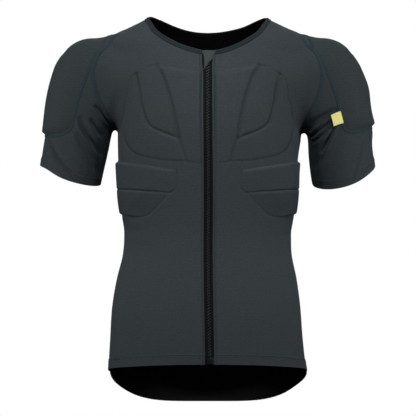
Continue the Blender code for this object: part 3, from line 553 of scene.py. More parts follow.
def arm_distance(p):
    """Signed distance from the arm rings of either side."""
    axis = unit(CUFF_CENTRE - SHOULDER_JOINT)
    q = np.stack([np.abs(p[..., 0]), p[..., 1], p[..., 2]], -1) - SHOULDER_JOINT
    along = np.clip(q @ axis, 0, ARM_RINGS[-1, 0])
    off = q - along[..., None] * axis
    wide = through(ARM_RINGS, 1, along)
    off[..., 1] *= wide / through(ARM_RINGS, 2, along)
    return np.linalg.norm(off, axis=-1) - wide


def form(p):
    """Below zero inside the filled-out vest and above zero outside it."""
    body, arm = body_distance(p), arm_distance(p)
    melt = through(ARMHOLE_MELT, 1, p[..., 2])
    h = np.clip(0.5 + 0.5 * (arm - body) / melt, 0, 1)
    return arm * (1 - h) + body * h - melt * h * (1 - h)


def slope(p):
    """How fast the form's value changes along each axis."""
    h = SLOPE_STEP
    return np.stack([form(p + h * e) - form(p - h * e) for e in np.eye(3)], -1) / (2 * h)


def outward(p):
    """Unit normals of the form at points on it."""
    return unit(slope(p))


def settle(p, rounds=6):
    """Move points that are near the form onto it."""
    for _ in range(rounds):
        g = slope(p)
        p = p - (form(p) / np.sum(g * g, -1))[..., None] * g
    return p


def cast(start, direction):
    """Where rays from inside the form first leave it."""
    start, direction = np.broadcast_arrays(np.asarray(start, float), np.asarray(direction, float))
    direction = unit(direction)
    near = np.zeros(direction.shape[:-1])
    far = np.zeros(near.shape)
    found = np.zeros(near.shape, bool)
    for _ in range(CAST_STEPS):
        value = form(start + far[..., None] * direction)
        found |= value > 0
        near = np.where(found, near, far)
        far = np.where(found, far, far + np.maximum(CAST_STEP, -CAST_SHARE * value))
        if found.all():
            break
    for _ in range(CAST_HALVINGS):
        mid = (near + far) / 2
        out = form(start + mid[..., None] * direction) > 0
        far = np.where(out, mid, far)
        near = np.where(out, near, mid)
    return start + far[..., None] * direction


def seen(across, up, facing=-1):
    """The surface seen from the front, or from behind where facing is 1."""
    across, up = np.broadcast_arrays(np.asarray(across, float), np.asarray(up, float))
    return cast(np.stack([across, np.zeros_like(up), up], -1), (0.0, facing, 0.0))


def beside(back, up):
    """The surface of the left side at a distance behind the middle and a height."""
    return cast((PANEL_HUB[0], back, up), (1.0, 0.0, 0.0))


# Lines on the form

def sampled(line, places, at):
    """Points of a line anywhere along it, where the places of its own points are known."""
    return np.stack([np.interp(at, places, c) for c in line.T], -1)


def run_along(line):
    """How far along a line each of its points is."""
    return np.concatenate([[0], np.cumsum(np.linalg.norm(np.diff(line, axis=0), axis=1))])


def even(line, count):
    """A line sampled again at even steps of its length."""
    run = run_along(line)
    return sampled(line, run, np.linspace(0, run[-1], count))


def spline(points, count):
    """A smooth line through points, sampled evenly."""
    points = np.asarray(points, float)
    chord = run_along(points)
    dense = np.linspace(0, chord[-1], SPLINE_POINTS)
    return even(np.stack([through(np.stack([chord, c], 1), 1, dense) for c in points.T], 1), count)


def length(line):
    """How long a line of points is."""
    return np.linalg.norm(np.diff(line, axis=0), axis=1).sum()


def armhole(facing):
    """The left armhole seam from the armpit up to the shoulder, in front or behind."""
    middle = seen(ARMHOLE_SEAM[:, 0], ARMHOLE_SEAM[:, 1], facing)
    ends = settle(ARMPIT), beside(0, SHOULDER_TOP_HEIGHT)
    return settle(spline(np.vstack([ends[0], middle, ends[1]]), LINE_POINTS))


def neck_edge(facing):
    """The neck edge of the left side from the middle to the shoulder."""
    table = NECK_FRONT if facing < 0 else NECK_BACK
    line = seen(table[:, 0], table[:, 1], facing)
    return settle(spline(np.vstack([line, beside(0, NECK_SIDE_HEIGHT)]), LINE_POINTS))


def neck_seam(facing):
    """The line where the neck binding meets the panel."""
    edge = neck_edge(facing)
    n = outward(edge)
    aside = facing * np.cross(n, unit(np.gradient(edge, axis=0)))
    kept = np.linspace(0, NECK_SEAM_KEPT * LINE_POINTS, NECK_SEAM_POINTS).astype(int)
    line = settle(edge + BINDING_WIDTH * aside)[kept]
    line[0, 0] = edge[0, 0]
    end = edge[-1] + BINDING_WIDTH * np.array((n[-1, 2], 0, -n[-1, 0]))
    return settle(spline(np.vstack([line, settle(end)]), LINE_POINTS))


def side_seam():
    """The left side seam from the hem up to the armpit."""
    line = [beside(SIDE_SEAM_BACK, h) for h in SIDE_SEAM_HEIGHTS]
    return spline(np.vstack(line + [settle(ARMPIT)]), LINE_POINTS)


def middle_line(facing, top):
    """The front edge beside the zip, or the middle of the back, from the hem up."""
    ups = np.linspace(HEM_FRONT if facing < 0 else HEM_BACK, top, 2 * LINE_POINTS)
    return seen(ZIP_GAP if facing < 0 else 0.0, ups, facing)


class Half:
    """A left half of the front or the back, with a plane of its own to draw on."""

    def __init__(self, facing):
        self.facing = facing
        self.side, self.hole, self.neck = side_seam(), armhole(facing), neck_seam(facing)
        middle = middle_line(facing, self.neck[0, 2])
        k = int(np.argmin(np.abs(middle[:, 2] - self.side[-1, 2])))
        high = np.vstack([even(middle[k:], ROWS + 1), even(self.neck, ROWS + 1)[1:]])
        self.inner = np.vstack([even(middle[:k + 1], 2 * ROWS + 1), high[1:]])
        self.outer = np.vstack([even(self.side, 2 * ROWS + 1), even(self.hole, 2 * ROWS + 1)[1:]])

    def inner_edge(self, row):
        """Where the panel's plane begins across: at the middle, and along the neck above it."""
        wide, low, high = PANEL_PLANE
        return wide * PANEL_NECK_SHARE * np.clip((row - low - high / 2) / (high / 2), 0, 1)

    def plane(self, u, row):
        """A point of the panel's plane from its share across and its row."""
        start = self.inner_edge(row)
        return np.stack([start + u * (PANEL_PLANE[0] - start), row], -1)

    def surface(self, plane):
        """Points of the form for points of the panel's plane, mirrored left of its middle."""
        wide, low, high = PANEL_PLANE
        row = plane[..., 1]
        start = self.inner_edge(row)
        u = np.clip((np.abs(plane[..., 0]) - start) / (wide - start), 0, 1)
        at = np.interp(row, (0, low, low + high), (0, 1, 2))
        rows = np.linspace(0, 2, len(self.inner))
        a, b = (sampled(line, rows, at) for line in (self.inner, self.outer))
        lift = PANEL_HUB_LIFT * np.exp(-((b[..., 2] - self.side[-1, 2]) / PANEL_HUB_REACH) ** 2)
        share = 0.5 * np.clip(at / HEM_ROWS, 0, 1)
        height = np.minimum(a[..., 2] + (b[..., 2] - a[..., 2]) * share + lift, PANEL_HUB_TOP)
        behind = -self.facing * PANEL_HUB[1] * np.clip((2 - at) / PANEL_HUB_FADE, 0, 1)
        hub = np.stack([np.full_like(height, PANEL_HUB[0]), behind, height], -1)
        turns, rises = [], []
        for d in (a - hub, b - hub):
            turns.append(np.arctan2(d[..., 0], self.facing * d[..., 1]))
            rises.append(d[..., 2] / np.hypot(d[..., 0], d[..., 1]))
        turn = turns[0] + (turns[1] - turns[0]) * u
        bend = 1 + (HEM_BEND[self.facing] - 1) * np.clip(1 - at, 0, 1) ** 2
        rise = rises[0] + (rises[1] - rises[0]) * u ** bend
        made = cast(hub, np.stack([np.sin(turn), self.facing * np.cos(turn), rise], -1))
        made[..., 0] *= np.where(plane[..., 0] < 0, -1, 1)
        return made


class Sleeve:
    """One side's sleeve, drawn on the left, with a plane that unrolls it from the underarm seam."""

    def __init__(self, side):
        self.side = side
        self.loop = np.vstack([even(armhole(-1), 2 * ROWS + 1), even(armhole(1), 2 * ROWS + 1)[-2::-1]])
        self.outline = pad_outline(side)
        self.pad_line = self.surface(self.outline)

    def surface(self, plane):
        """Points of the form for points of the sleeve's plane."""
        around, down = plane[..., 0] / SLEEVE_PLANE[0], plane[..., 1] / SLEEVE_PLANE[1]
        at = np.linspace(0, 1, len(self.loop))
        start = unit(sampled(self.loop, at, around) - SLEEVE_HUB)
        turn = 2 * math.pi * around[..., None]
        out = np.array((math.cos(CUFF_LIFT), 0, math.sin(CUFF_LIFT)))
        end = -np.cos(turn) * out - np.sin(turn) * np.array((0, 1, CUFF_DIP[self.side]))
        t = down[..., None]
        hub = (1 - t) ** 2 * SLEEVE_HUB + 2 * t * (1 - t) * SLEEVE_BEND + t * t * CUFF_CENTRE
        return cast(hub, start * (1 - t) + end * t)


def front_lines():
    """The pad lines of the left front as smooth lines on the form."""
    lines = {}
    for name, rows in PAD_LINES.items():
        table = np.array(rows, float)
        points = seen(table[:, 0], table[:, 1])
        if name in RIB_SIDE_HEIGHTS:
            height = RIB_SIDE_HEIGHTS[name]
            points = np.vstack([points, beside(RIB_SIDE_FRONT, height), beside(RIB_SIDE_BACK, height)])
        lines[name] = points
    lines["rib_back_high"] = np.vstack([lines["rib_top"][-1], lines["rib_middle"][-1]])
    lines["rib_back_low"] = np.vstack([lines["rib_middle"][-1], lines["rib_low"][-1]])
    return {name: settle(spline(points, LINE_POINTS)) for name, points in lines.items()}


def chain(lines, order):
    """Lines joined end to end as one closed line."""
    return np.vstack([lines[name][::way][:-1] for name, way in order])


def rise_over(distance, reach):
    """A smooth climb from 0 to 1 over a distance."""
    t = np.clip(distance / reach, 0, 1)
    return t * t * (3 - 2 * t)


# Meshes

def profile(distance, reach, power):
    """A climb from 0 to 1 that starts steeply and rounds off."""
    return 1 - (1 - np.clip(distance / reach, 0, 1)) ** power


def bell(distance, middle, half):
    """A soft bump round a distance."""
    return np.exp(-((distance - middle) / half) ** 2)


def steps(*stretches):
    """Positions from stretches of an end and a step each, starting at the first end."""
    (start, _), *rest = stretches
    made = [np.array([start])]
    for end, step in rest:
        count = max(1, int(round(abs(end - start) / (step * COARSE))))
        made.append(np.linspace(start, end, count + 1)[1:])
        start = end
    return np.concatenate(made)


def closest(points, line):
    """For each point, the index of the closest point of a line and how far it is."""
    tree = KDTree(len(line))
    for k, p in enumerate(line):
        tree.insert(p, k)
    tree.balance()
    found = [tree.find(p)[1:] for p in points.reshape(-1, 3)]
    index = np.array([f[0] for f in found]).reshape(points.shape[:-1])
    return index, np.array([f[1] for f in found]).reshape(points.shape[:-1])


def away(points, line):
    """Distance of each point from a line."""
    return closest(points, line)[1]


def crease(points, normals, line, half, deep):
    """A soft trough along a line, with a low ridge on one side of it, fading out at both ends."""
    index, distance = closest(points, line)
    along = unit(np.gradient(line, axis=0))
    aside = np.sum(np.cross(normals, along[index]) * (points - line[index]), -1)
    fade = np.sin(math.pi * index / (len(line) - 1)) ** 0.5
    beyond = np.sqrt(np.maximum(distance ** 2 - aside ** 2, 0))
    fade = fade * np.exp(-(beyond / half) ** 2)
    high, place, width = CREASE_RIDGE
    return deep * fade * (high * bell(aside, place * half, width * half) - bell(aside, 0, half))


def shifted(points):
    """Points moved to where the worn cloth sits."""
    moved = points.copy()
    for across, back, up, reach, *move in SHIFTS:
        share = np.exp(-np.sum((points - (across, back, up)) ** 2, -1) / reach ** 2)
        moved += share[:, None] * move
    return moved


def make_piece(name, points, faces, looks, slots, node=None, slot=None, shift=True):
    """A finished piece of the vest from points in millimetres."""
    mesh = bpy.data.meshes.new(name)
    points = (shifted(points) if shift else points) * MM
    mesh.from_pydata(points.tolist(), [], [list(map(int, f)) for f in faces])
    mesh.polygons.foreach_set("material_index", np.asarray(slots, np.int32))
    mesh.polygons.foreach_set("use_smooth", np.ones(len(faces), bool))
    mesh.set_sharp_from_angle(angle=SHARP_EDGE)
    for name_of_look in looks:
        mesh.materials.append(MATERIALS[name_of_look])
    mesh.update()
    piece = bpy.data.objects.new(name, mesh)
    bpy.context.scene.collection.objects.link(piece)
    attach(piece, "root")
    if node:
        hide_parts(node)
    return piece


def grid_faces(rows, columns, wrap=False):
    """Faces of a grid of points taken row by row, closed round its columns where wrap is set."""
    at = np.arange(rows * columns).reshape(rows, columns)
    if wrap:
        at = np.hstack([at, at[:, :1]])
    return np.stack([at[:-1, :-1], at[:-1, 1:], at[1:, 1:], at[1:, :-1]], -1).reshape(-1, 4)


def shell(name, outer, inner, faces, looks, **kind):
    """A closed thin shell: the faces on its outer points, the same on its inner ones and the edge between."""
    outer, inner = outer.reshape(-1, 3), inner.reshape(-1, 3)
    count = len(outer)
    a, b = faces.ravel(), np.roll(faces, -1, 1).ravel()
    open_edge = ~np.isin(a.astype(np.int64) * count + b, b.astype(np.int64) * count + a)
    a, b = a[open_edge], b[open_edge]
    edge = np.stack([b, a, a + count, b + count], -1)
    points = np.vstack([outer, inner])
    first, second, last = outer[faces[:, 0]], outer[faces[:, 1]], outer[faces[:, -1]]
    facing = np.sum(np.cross(second - first, last - first) * (first - inner[faces[:, 0]]))
    every = list(faces) + list(faces[:, ::-1] + count) + list(edge)
    if facing < 0:
        every = [f[::-1] for f in every]
    slots = [0] * len(faces) + [1] * len(faces) + [0] * len(edge)
    return make_piece(name, points, every, looks, slots, **kind)


def skin(name, base, normals, high, low, faces, looks, mirror=1, **kind):
    """A closed thin shell between two heights over points of the form."""
    heights = (np.broadcast_to(h, base.shape[:-1])[..., None] for h in (high, low))
    outer, inner = ((base + h * normals) * mirror for h in heights)
    return shell(name, outer, inner, faces, looks, **kind)


def third_look(piece, height, looks):
    """Give a piece's third look to its faces below a height that have one of the looks numbered."""
    for face in piece.data.polygons:
        if face.material_index in looks and face.center.z < height * MM:
            face.material_index = 2


# Materials

def fill(node, values):
    """Set inputs of a node to plain values."""
    for name, value in values.items():
        node.inputs[name].default_value = value


def look(name, colour, rough, sheen=0.0, weave=0.0016, weave_depth=0.00012, weave_share=0.05, speck=0.05,
         shine=0.1, grain=0.5):
    """A material: its colour broken up by a fine knit and faint unevenness, with the same knit as bump."""
    made = bpy.data.materials.new(name)
    made.use_nodes = True
    nodes, links = made.node_tree.nodes, made.node_tree.links
    shader = nodes["Principled BSDF"]
    fill(shader, {"Roughness": rough, "Specular IOR Level": shine, "Sheen Weight": sheen,
                  "Sheen Roughness": SHEEN_ROUGH})
    place = nodes.new("ShaderNodeTexCoord")
    knit = nodes.new("ShaderNodeTexWave")
    knit.bands_direction = "Z"
    fill(knit, {"Scale": math.pi / (10 * weave), "Distortion": KNIT_BEND, "Detail Scale": KNIT_DETAIL})
    links.new(place.outputs["Object"], knit.inputs["Vector"])
    fine = nodes.new("ShaderNodeTexNoise")
    fill(fine, {"Scale": 1 / weave, "Detail": GRAIN_DETAIL})
    links.new(place.outputs["Object"], fine.inputs["Vector"])
    mixed = nodes.new("ShaderNodeMix")
    mixed.data_type = "FLOAT"
    fill(mixed, {"Factor": grain})
    links.new(knit.outputs["Fac"], mixed.inputs["A"])
    links.new(fine.outputs["Fac"], mixed.inputs["B"])
    ramp = nodes.new("ShaderNodeValToRGB")
    spread = weave_share + speck
    for stop, position, share in zip(ramp.color_ramp.elements, TONE_STOPS, (1 - spread, 1 + spread)):
        stop.position = position
        stop.color = tuple(c * share for c in colour) + (1,)
    links.new(mixed.outputs["Result"], ramp.inputs["Fac"])
    links.new(ramp.outputs["Color"], shader.inputs["Base Color"])
    bump = nodes.new("ShaderNodeBump")
    fill(bump, {"Strength": BUMP_STRENGTH, "Distance": weave_depth})
    links.new(mixed.outputs["Result"], bump.inputs["Height"])
    links.new(bump.outputs["Normal"], shader.inputs["Normal"])
    return made


def srgb(red, green, blue):
    """A colour on the screen's scale of 0 to 255 as linear light."""
    shares = (red / 255, green / 255, blue / 255)
    return tuple(c / 12.92 if c < 10 / 255 else ((c + 0.055) / 1.055) ** 2.4 for c in shares)


MATERIALS = {}
for part, (title, colour, rough, others) in LOOKS.items():
    MATERIALS[part] = look(title, srgb(*colour), rough, **others)


# Panels

def flat(across, down):
    """Points of a plane from two coordinates, either of which may be one number."""
    return np.stack(np.broadcast_arrays(across, down), -1)


def within(points, loop, batch=4000):
    """Which points of a plane are inside a closed line, a few thousand at a time."""
    x0, y0 = loop.T
    x1, y1 = np.roll(loop, -1, 0).T
    listed = points.reshape(-1, 2)
    parts = []
    for k in range(0, len(listed), batch):
        x, y = listed[k:k + batch, 0:1], listed[k:k + batch, 1:2]
        at = x0 + (y - y0) * (x1 - x0) / np.where(y1 == y0, 1e-9, y1 - y0)
        parts.append((((y0 > y) != (y1 > y)) & (x < at)).sum(1) % 2 == 1)
    return np.concatenate(parts).reshape(points.shape[:-1])


def unrolled(points):
    """Points of the trunk laid flat by their turn about its middle."""
    turn = np.arctan2(points[..., 0], -points[..., 1])
    return np.stack([UNROLL_RADIUS * turn, points[..., 2]], -1)


def pad_relief(points):
    """How far the foam of the left front's pads lifts the cloth, with the sewn lines across it."""
    lines = front_lines()
    laid_flat = unrolled(points)
    gaps = {name: away(points, line) for name, line in lines.items()}
    raised = np.zeros(points.shape[:-1])
    for height, thinning, order in PADS.values():
        climb = np.full(raised.shape, float(height))
        for axis, start, end, least in thinning:
            climb *= least + (1 - least) * rise_over(points[..., axis] - start, end - start)
        edge = np.ones(raised.shape)
        for name, _ in order:
            kind = max((k for k in PAD_EDGES if name.startswith(k)), key=len)
            edge = np.minimum(edge, profile(gaps[name], *PAD_EDGES[kind]))
        raised = np.where(within(laid_flat, unrolled(chain(lines, order))), climb * edge, raised)
    for name, (deep, half) in PAD_DIPS.items():
        raised -= deep * bell(gaps[name], 0, half) * np.clip(raised / DIP_FULL, DIP_LEAST, 1)
    near = np.min(list(gaps.values()), axis=0)
    return raised - GROOVE_DEPTH * bell(near, 0, GROOVE_HALF)


def body_folds(points, normals, facing):
    """The soft creases of the front or the back, both sides at once."""
    moved = np.zeros(points.shape[:-1])
    for side, faced, *ends, half, deep in BODY_FOLDS:
        if faced == facing:
            line = seen(*np.linspace(ends[:2], ends[2:], BODY_FOLD_POINTS).T, facing)
            moved += crease(points, normals, line * (side, 1, 1), half, deep)
    return moved


def seam_dip(points, *lines):
    """The cloth drawn in a little along its seams."""
    reach, deep = SEAM_DIP
    return -deep * bell(away(points, np.vstack(lines)), 0, reach)


def turned_up(distance, width):
    """The extra thickness of a turned-up edge and the step where it ends."""
    back, half, deep = FOLD_LINE
    raised = FOLD_RAISE * (1 - rise_over(distance - width, FOLD_STEP))
    return raised - deep * bell(distance, width - back, half)


def make_fronts():
    """Both front panels, with their pads, the rolled edges beside the zip and the turned-up hem."""
    half = Half(-1)
    us, rows = steps(*FRONT_ACROSS) / PANEL_PLANE[0], steps(*FRONT_ROWS)
    base = half.surface(half.plane(*np.meshgrid(us, rows)))
    normals = outward(base)
    raised = pad_relief(base)
    raised += turned_up(base[..., 2] - base[:1, :, 2], HEM_FOLD)
    raised += seam_dip(base, half.side, half.hole)
    beside_zip = np.where(base[..., 2] < half.neck[0, 2], base[..., 0] - ZIP_GAP, math.inf)
    for middle, width, high in (EDGE_ROLL, EDGE_LINE, EDGE_DIP):
        raised += high * bell(beside_zip, middle, width)
    made = {}
    for side, sign in SIDES:
        points, n = base * (sign, 1, 1), normals * (sign, 1, 1)
        lifted = raised + body_folds(points, n, -1)
        if side == "right":
            back, height, reach_up, reach_across = FLAP_GAP
            near = bell(points[..., 2], height, reach_up) * bell(points[..., 0], -ZIP_GAP, reach_across)
            points[..., 0] -= back * near
        made[side] = skin("front_" + side + "_cloth", points, n, lifted, np.minimum(lifted, 0) - CLOTH,
                          grid_faces(len(rows), len(us)), ("cloth", "inside"), node="front_" + side,
                          slot="cloth")
    return made


def make_back():
    """The back panel in one piece, with its dropped and turned-up hem."""
    half = Half(1)
    us, rows = steps(*BACK_ACROSS) / PANEL_PLANE[0], steps(*BACK_ROWS)
    joined = int(np.argmin(np.abs(rows - PANEL_SPLIT))) + 1
    share, row = np.meshgrid(us, rows)
    share[joined:, 0] = PANEL_EDGE / PANEL_PLANE[0]
    base = half.surface(half.plane(share, row))
    raised = turned_up(base[..., 2] - base[:1, :, 2], HEM_FOLD)
    raised += seam_dip(base, half.side, half.hole)
    normals = outward(base).reshape(-1, 3)
    count = len(normals)
    left = grid_faces(len(rows), len(us))
    index = np.arange(count).reshape(len(rows), len(us)) + count
    index[:joined, 0] -= count
    right = index.ravel()[left][:, ::-1]
    used, faces = np.unique(np.vstack([left, right]), return_inverse=True)
    points, n = (np.vstack([p, p * (-1, 1, 1)])[used] for p in (base.reshape(-1, 3), normals))
    lifted = np.tile(raised.ravel(), 2)[used] + body_folds(points, n, 1)
    made = skin("back_cloth", points, n, lifted, np.minimum(lifted, 0) - CLOTH, faces.reshape(-1, 4),
                ("cloth", "inside", "inside_painted_light"), node="back", slot="cloth")
    # The lining low in the back is given the paler black as painted light
    third_look(made, PAINTED_LIGHT_BELOW, (1,))
    return made


def pad_outline(side):
    """The pad cover's outline in the sleeve's plane, as a closed line."""
    below = np.maximum(SHOULDER_OUTLINE[:, 1:] - 0.5, 0) * (COVER_REACH[side] - 1)
    half = spline((SHOULDER_OUTLINE + below * (0, 1)) * SLEEVE_PLANE, 2 * LINE_POINTS)
    return np.vstack([half, (half * (-1, 1) + (SLEEVE_PLANE[0], 0))[-2:0:-1]])


def toward(outline, targets):
    """Where sight lines from the cover's centre to the targets cross its outline."""
    turns = np.unwrap(np.arctan2(*(outline - COVER_CENTRE).T))
    reach = np.linalg.norm(outline - COVER_CENTRE, axis=1)
    order = np.argsort(turns)
    aim = targets - COVER_CENTRE
    turn = np.arctan2(*aim.T)
    distance = np.interp(turn, turns[order], reach[order], period=2 * math.pi)
    return COVER_CENTRE + aim * (distance / np.linalg.norm(aim, axis=1))[:, None]


def make_sleeve(sleeve, sign):
    """A sleeve with its creases and turned-up cuff, open where the pad cover is let in."""
    wide, long = SLEEVE_PLANE
    around, down = steps(*SLEEVE_AROUND), steps(*SLEEVE_DOWN)
    frame_line = np.vstack([
        flat(around, SLEEVE_EDGE),
        flat(wide - SLEEVE_EDGE, down)[1:],
        flat(around[::-1], long)[1:],
        flat(SLEEVE_EDGE, down[::-1])[1:-1],
    ])
    start = toward(sleeve.outline, frame_line)
    base = sleeve.surface(start + (frame_line - start) * steps(*SLEEVE_OUT)[:, None, None])
    normals = outward(base)
    cuff_line, under = sleeve.surface(flat(around, long)), sleeve.surface(flat(0.0, down))
    clear = rise_over(away(base, np.vstack([sleeve.pad_line, sleeve.loop])), FOLD_CLEAR)
    raised = turned_up(away(base, cuff_line), CUFF_FOLD) + seam_dip(base, sleeve.pad_line, sleeve.loop, under)
    for *ends, half, deep in SLEEVE_FOLDS[sleeve.side]:
        line = np.linspace(ends[:2], ends[2:], SLEEVE_FOLD_POINTS) * SLEEVE_PLANE
        raised += clear * crease(base, normals, sleeve.surface(line), half, deep)
    return skin("sleeve_" + sleeve.side + "_cloth", base, normals, raised, np.minimum(raised, 0) - CLOTH,
                grid_faces(*base.shape[:2], wrap=True), ("cloth", "inside"), (sign, 1, 1),
                node="sleeve_" + sleeve.side, slot="cloth")


def make_cover(sleeve, sign):
    """The domed pad cover let into a sleeve, closed in its middle by a fan of faces."""
    count = int(COVER_POINTS / COARSE)
    edge = even(np.vstack([sleeve.outline, sleeve.outline[:1]]), count + 1)[:-1]
    plane = COVER_CENTRE + (edge - COVER_CENTRE) * steps(*COVER_RINGS)[:, None, None]
    base = sleeve.surface(plane)
    normals = outward(base)
    around, down = np.moveaxis(plane / SLEEVE_PLANE, -1, 0)
    foot, begins, half = COVER_FOOT
    crisp = rise_over(down - foot, begins) * bell(around, 0.5, half)
    reach = COVER_DOME[0] + (COVER_DOME[1] - COVER_DOME[0]) * crisp
    dome = profile(away(base, sleeve.pad_line) - COVER_MARGIN, reach, COVER_DOME_POWER)
    raised = through(COVER_RAISE, 1, down) * dome
    last = np.arange(count) + (len(base) - 1) * count
    middle = np.full(count, len(base) * count)
    fan = np.stack([last, np.roll(last, -1), middle, middle], 1)
    faces = np.vstack([grid_faces(*base.shape[:2], wrap=True), fan])
    outer, inner = base + raised[..., None] * normals, base - CLOTH * normals
    outer, inner = (np.vstack([p.reshape(-1, 3), p[-1].mean(0)]) * (sign, 1, 1) for p in (outer, inner))
    return shell("shoulder_" + sleeve.side + "_cover", outer, inner, faces, ("cover", "inside"),
                 node="shoulder_" + sleeve.side, slot="pad_cloth")


# Sewing

def band(name, line, half_width, closed=False):
    """A flat sewn seam along a line of the form: two rows of thread with slanting threads between."""
    count = int(length(line) / (SEAM_PITCH / SEAM_STEPS * COARSE))
    line = even(np.vstack([line, line[:1]]), count + 1)[:-1] if closed else even(line, count)
    along = np.roll(line, -1, 0) - np.roll(line, 1, 0) if closed else np.gradient(line, axis=0)
    aside = np.cross(outward(line), unit(along))
    across = np.linspace(-1, 1, SEAM_COLUMNS)[:, None]
    base = settle(line + half_width * across[..., None] * aside, 2)
    run = np.linspace(0, length(line), count)
    place, half, high = SEAM_ROWS
    rows = high * bell(np.abs(across), place, half)
    twist = SEAM_TWIST * np.cos(2 * math.pi * run / SEAM_PITCH + SEAM_SLANT * np.abs(across))
    height = SEAM_RAISE + SEAM_CROWN * np.sqrt(1 - across ** 4) + twist + rows
    return skin(name, base, outward(base), height, -SEAM_SUNK, grid_faces(SEAM_COLUMNS, count, wrap=closed),
                ("thread", "thread"), slot="binding")


def laid_on(piece, line):
    """A line of the plain form moved onto the finished face of a piece, with the face's normals there."""
    mesh = piece.data
    tree = BVHTree.FromPolygons([v.co for v in mesh.vertices], [p.vertices for p in mesh.polygons])
    found = [tree.find_nearest(p) for p in shifted(line) * MM]
    return np.array([f[0] for f in found]) / MM, np.array([f[1] for f in found])


def stitches(name, lines, thick):
    """Separate stitches along lines, each given with the piece it is sewn through, as tapered threads."""
    along, across, up = STITCH_BODY.T
    points, every = [], []
    for piece, line in lines:
        count = max(2, int(length(line) / STITCH_PITCH))
        line, normals = laid_on(piece, even(line, count + 1))
        for start, step, normal in zip(line[:-1], np.diff(line, axis=0), normals):
            aside = np.cross(normal, step)
            aside /= np.linalg.norm(aside) + 1e-9
            made = start + np.outer(along * STITCH_SHARE, step) + thick * np.outer(across, aside)
            every += [[i + len(along) * len(points) for i in f] for f in STITCH_FACES]
            points.append(made + thick * np.outer(up + STITCH_PROUD, normal))
    make_piece(name, np.vstack(points), every, ("stitch",), [0] * len(every), slot="cloth", shift=False)


def above(line, distance):
    """A line of the form moved up it by a distance."""
    return settle(line + (0, 0, distance), 3)


def make_binding():
    """The neck binding from one front edge round the back to the other, with its sewn ribs."""
    count = int(BINDING_POINTS / COARSE)
    rows = []
    for line in (neck_edge, neck_seam):
        left = np.vstack([even(line(-1), count), even(line(1), count)[-2::-1]])
        rows.append(np.vstack([left, (left * (-1, 1, 1))[-2::-1]]))
    t = np.linspace(0.0, BINDING_REACH, BINDING_ROWS)[:, None]
    base = settle(rows[0] + (rows[1] - rows[0]) * t[..., None], 3)
    run = run_along(base[BINDING_ROWS // 2])
    high, pitch, place, half = BINDING_RIBS
    rib = high * np.cos(2 * math.pi * (run / pitch + 0.5 * (t > 0.5))) * bell(np.abs(t - 0.5), place, half)
    height = BINDING_RAISE + BINDING_CROWN * np.sqrt(np.maximum(1 - (2 * t - 1) ** 4, 0)) + rib
    deep, half = BINDING_GROOVE
    height = height - deep * bell(t, 0.5, half)
    thin, half = BINDING_THINNED
    skin("neck_binding_band", base, outward(base), height, thin * bell(t, 0, half) - BINDING_DEPTH,
         grid_faces(*base.shape[:2]), ("binding", "inside"), node="neck_binding", slot="binding")


def make_seams(sleeves):
    """The flat sewn seams of both sides."""
    front_hole, back_hole = armhole(-1), armhole(1)
    hole = np.vstack([front_hole, back_hole[-2:0:-1]])
    start, end = neck_seam(-1)[-1], front_hole[-1]
    top = start + (end - start) * np.linspace(*SHOULDER_SEAM_ENDS, SEAM_POINTS)[:, None]
    top = settle(top - (0, SHOULDER_SEAM_FORWARD, 0))
    for side, sign in SIDES:
        mirror = (sign, 1, 1)
        sleeve = sleeves[side]
        under = sleeve.surface(flat(0.0, np.linspace(UNDERARM_SHORT, SLEEVE_PLANE[1], SEAM_POINTS)))
        band("armhole_seam_" + side, hole * mirror, SEAM_HALF, closed=True)
        band("pad_seam_" + side, sleeve.pad_line * mirror, SEAM_HALF, closed=True)
        band("side_seam_" + side, side_seam()[:-SIDE_SEAM_SHORT] * mirror, SIDE_SEAM_HALF)
        band("underarm_seam_" + side, under * mirror, SIDE_SEAM_HALF)
        band("shoulder_seam_" + side, top * mirror, SHOULDER_SEAM_HALF)


def make_stitches(fronts, back, sleeves, cuffs):
    """The single stitches of hem, front edges and cuffs."""
    hem_lines, zip_lines = [], []
    for facing, pieces in ((-1, fronts), (1, {"left": back, "right": back})):
        half = Half(facing)
        rim = half.surface(half.plane(np.linspace(*HEM_STITCHED, HEM_LINE_POINTS), np.zeros(HEM_LINE_POINTS)))
        for side, sign in SIDES:
            hem_lines += [(pieces[side], above(rim, HEM_FOLD - row) * (sign, 1, 1)) for row in STITCH_ROWS]
    low, high = HEM_FRONT + EDGE_STITCH_ENDS[0], NECK_FRONT[0, 1] - EDGE_STITCH_ENDS[1]
    edge = seen(ZIP_GAP + EDGE_LINE[0], np.linspace(low, high, STITCH_LINE_POINTS))
    for side, sign in SIDES:
        zip_lines.append((fronts[side], edge * (sign, 1, 1)))
    stitches("hem_stitches", hem_lines, STITCH_THICK)
    stitches("zip_edge_stitches", zip_lines, EDGE_STITCH_THICK)
    for side, sign in SIDES:
        around = np.linspace(*CUFF_STITCHED, STITCH_LINE_POINTS) * SLEEVE_PLANE[0]
        rim, up = (sleeves[side].surface(flat(around, share * SLEEVE_PLANE[1])) for share in (1.0, CUFF_AIM))
        lines = [settle(rim + unit(up - rim) * (CUFF_FOLD - row), 3) * (sign, 1, 1) for row in STITCH_ROWS]
        stitches("cuff_stitches_" + side, [(cuffs[side], line) for line in lines], STITCH_THICK)


# Zip

def strip(name, acrosses, ups, high, low, looks, sign=1, **kind):
    """A narrow piece down the zip, between two distances from the cloth's outer face."""
    base = seen(*np.meshgrid(acrosses, ups))
    faces = grid_faces(len(ups), len(acrosses))
    return skin(name, base, outward(base), high, low, faces, looks, (sign, 1, 1), **kind)


def rounded(count, power):
    """Heights from side to side of a moulded part, rounded off at both."""
    return np.sqrt(1 - (ROUND_REACH * np.linspace(-1, 1, count)) ** power)


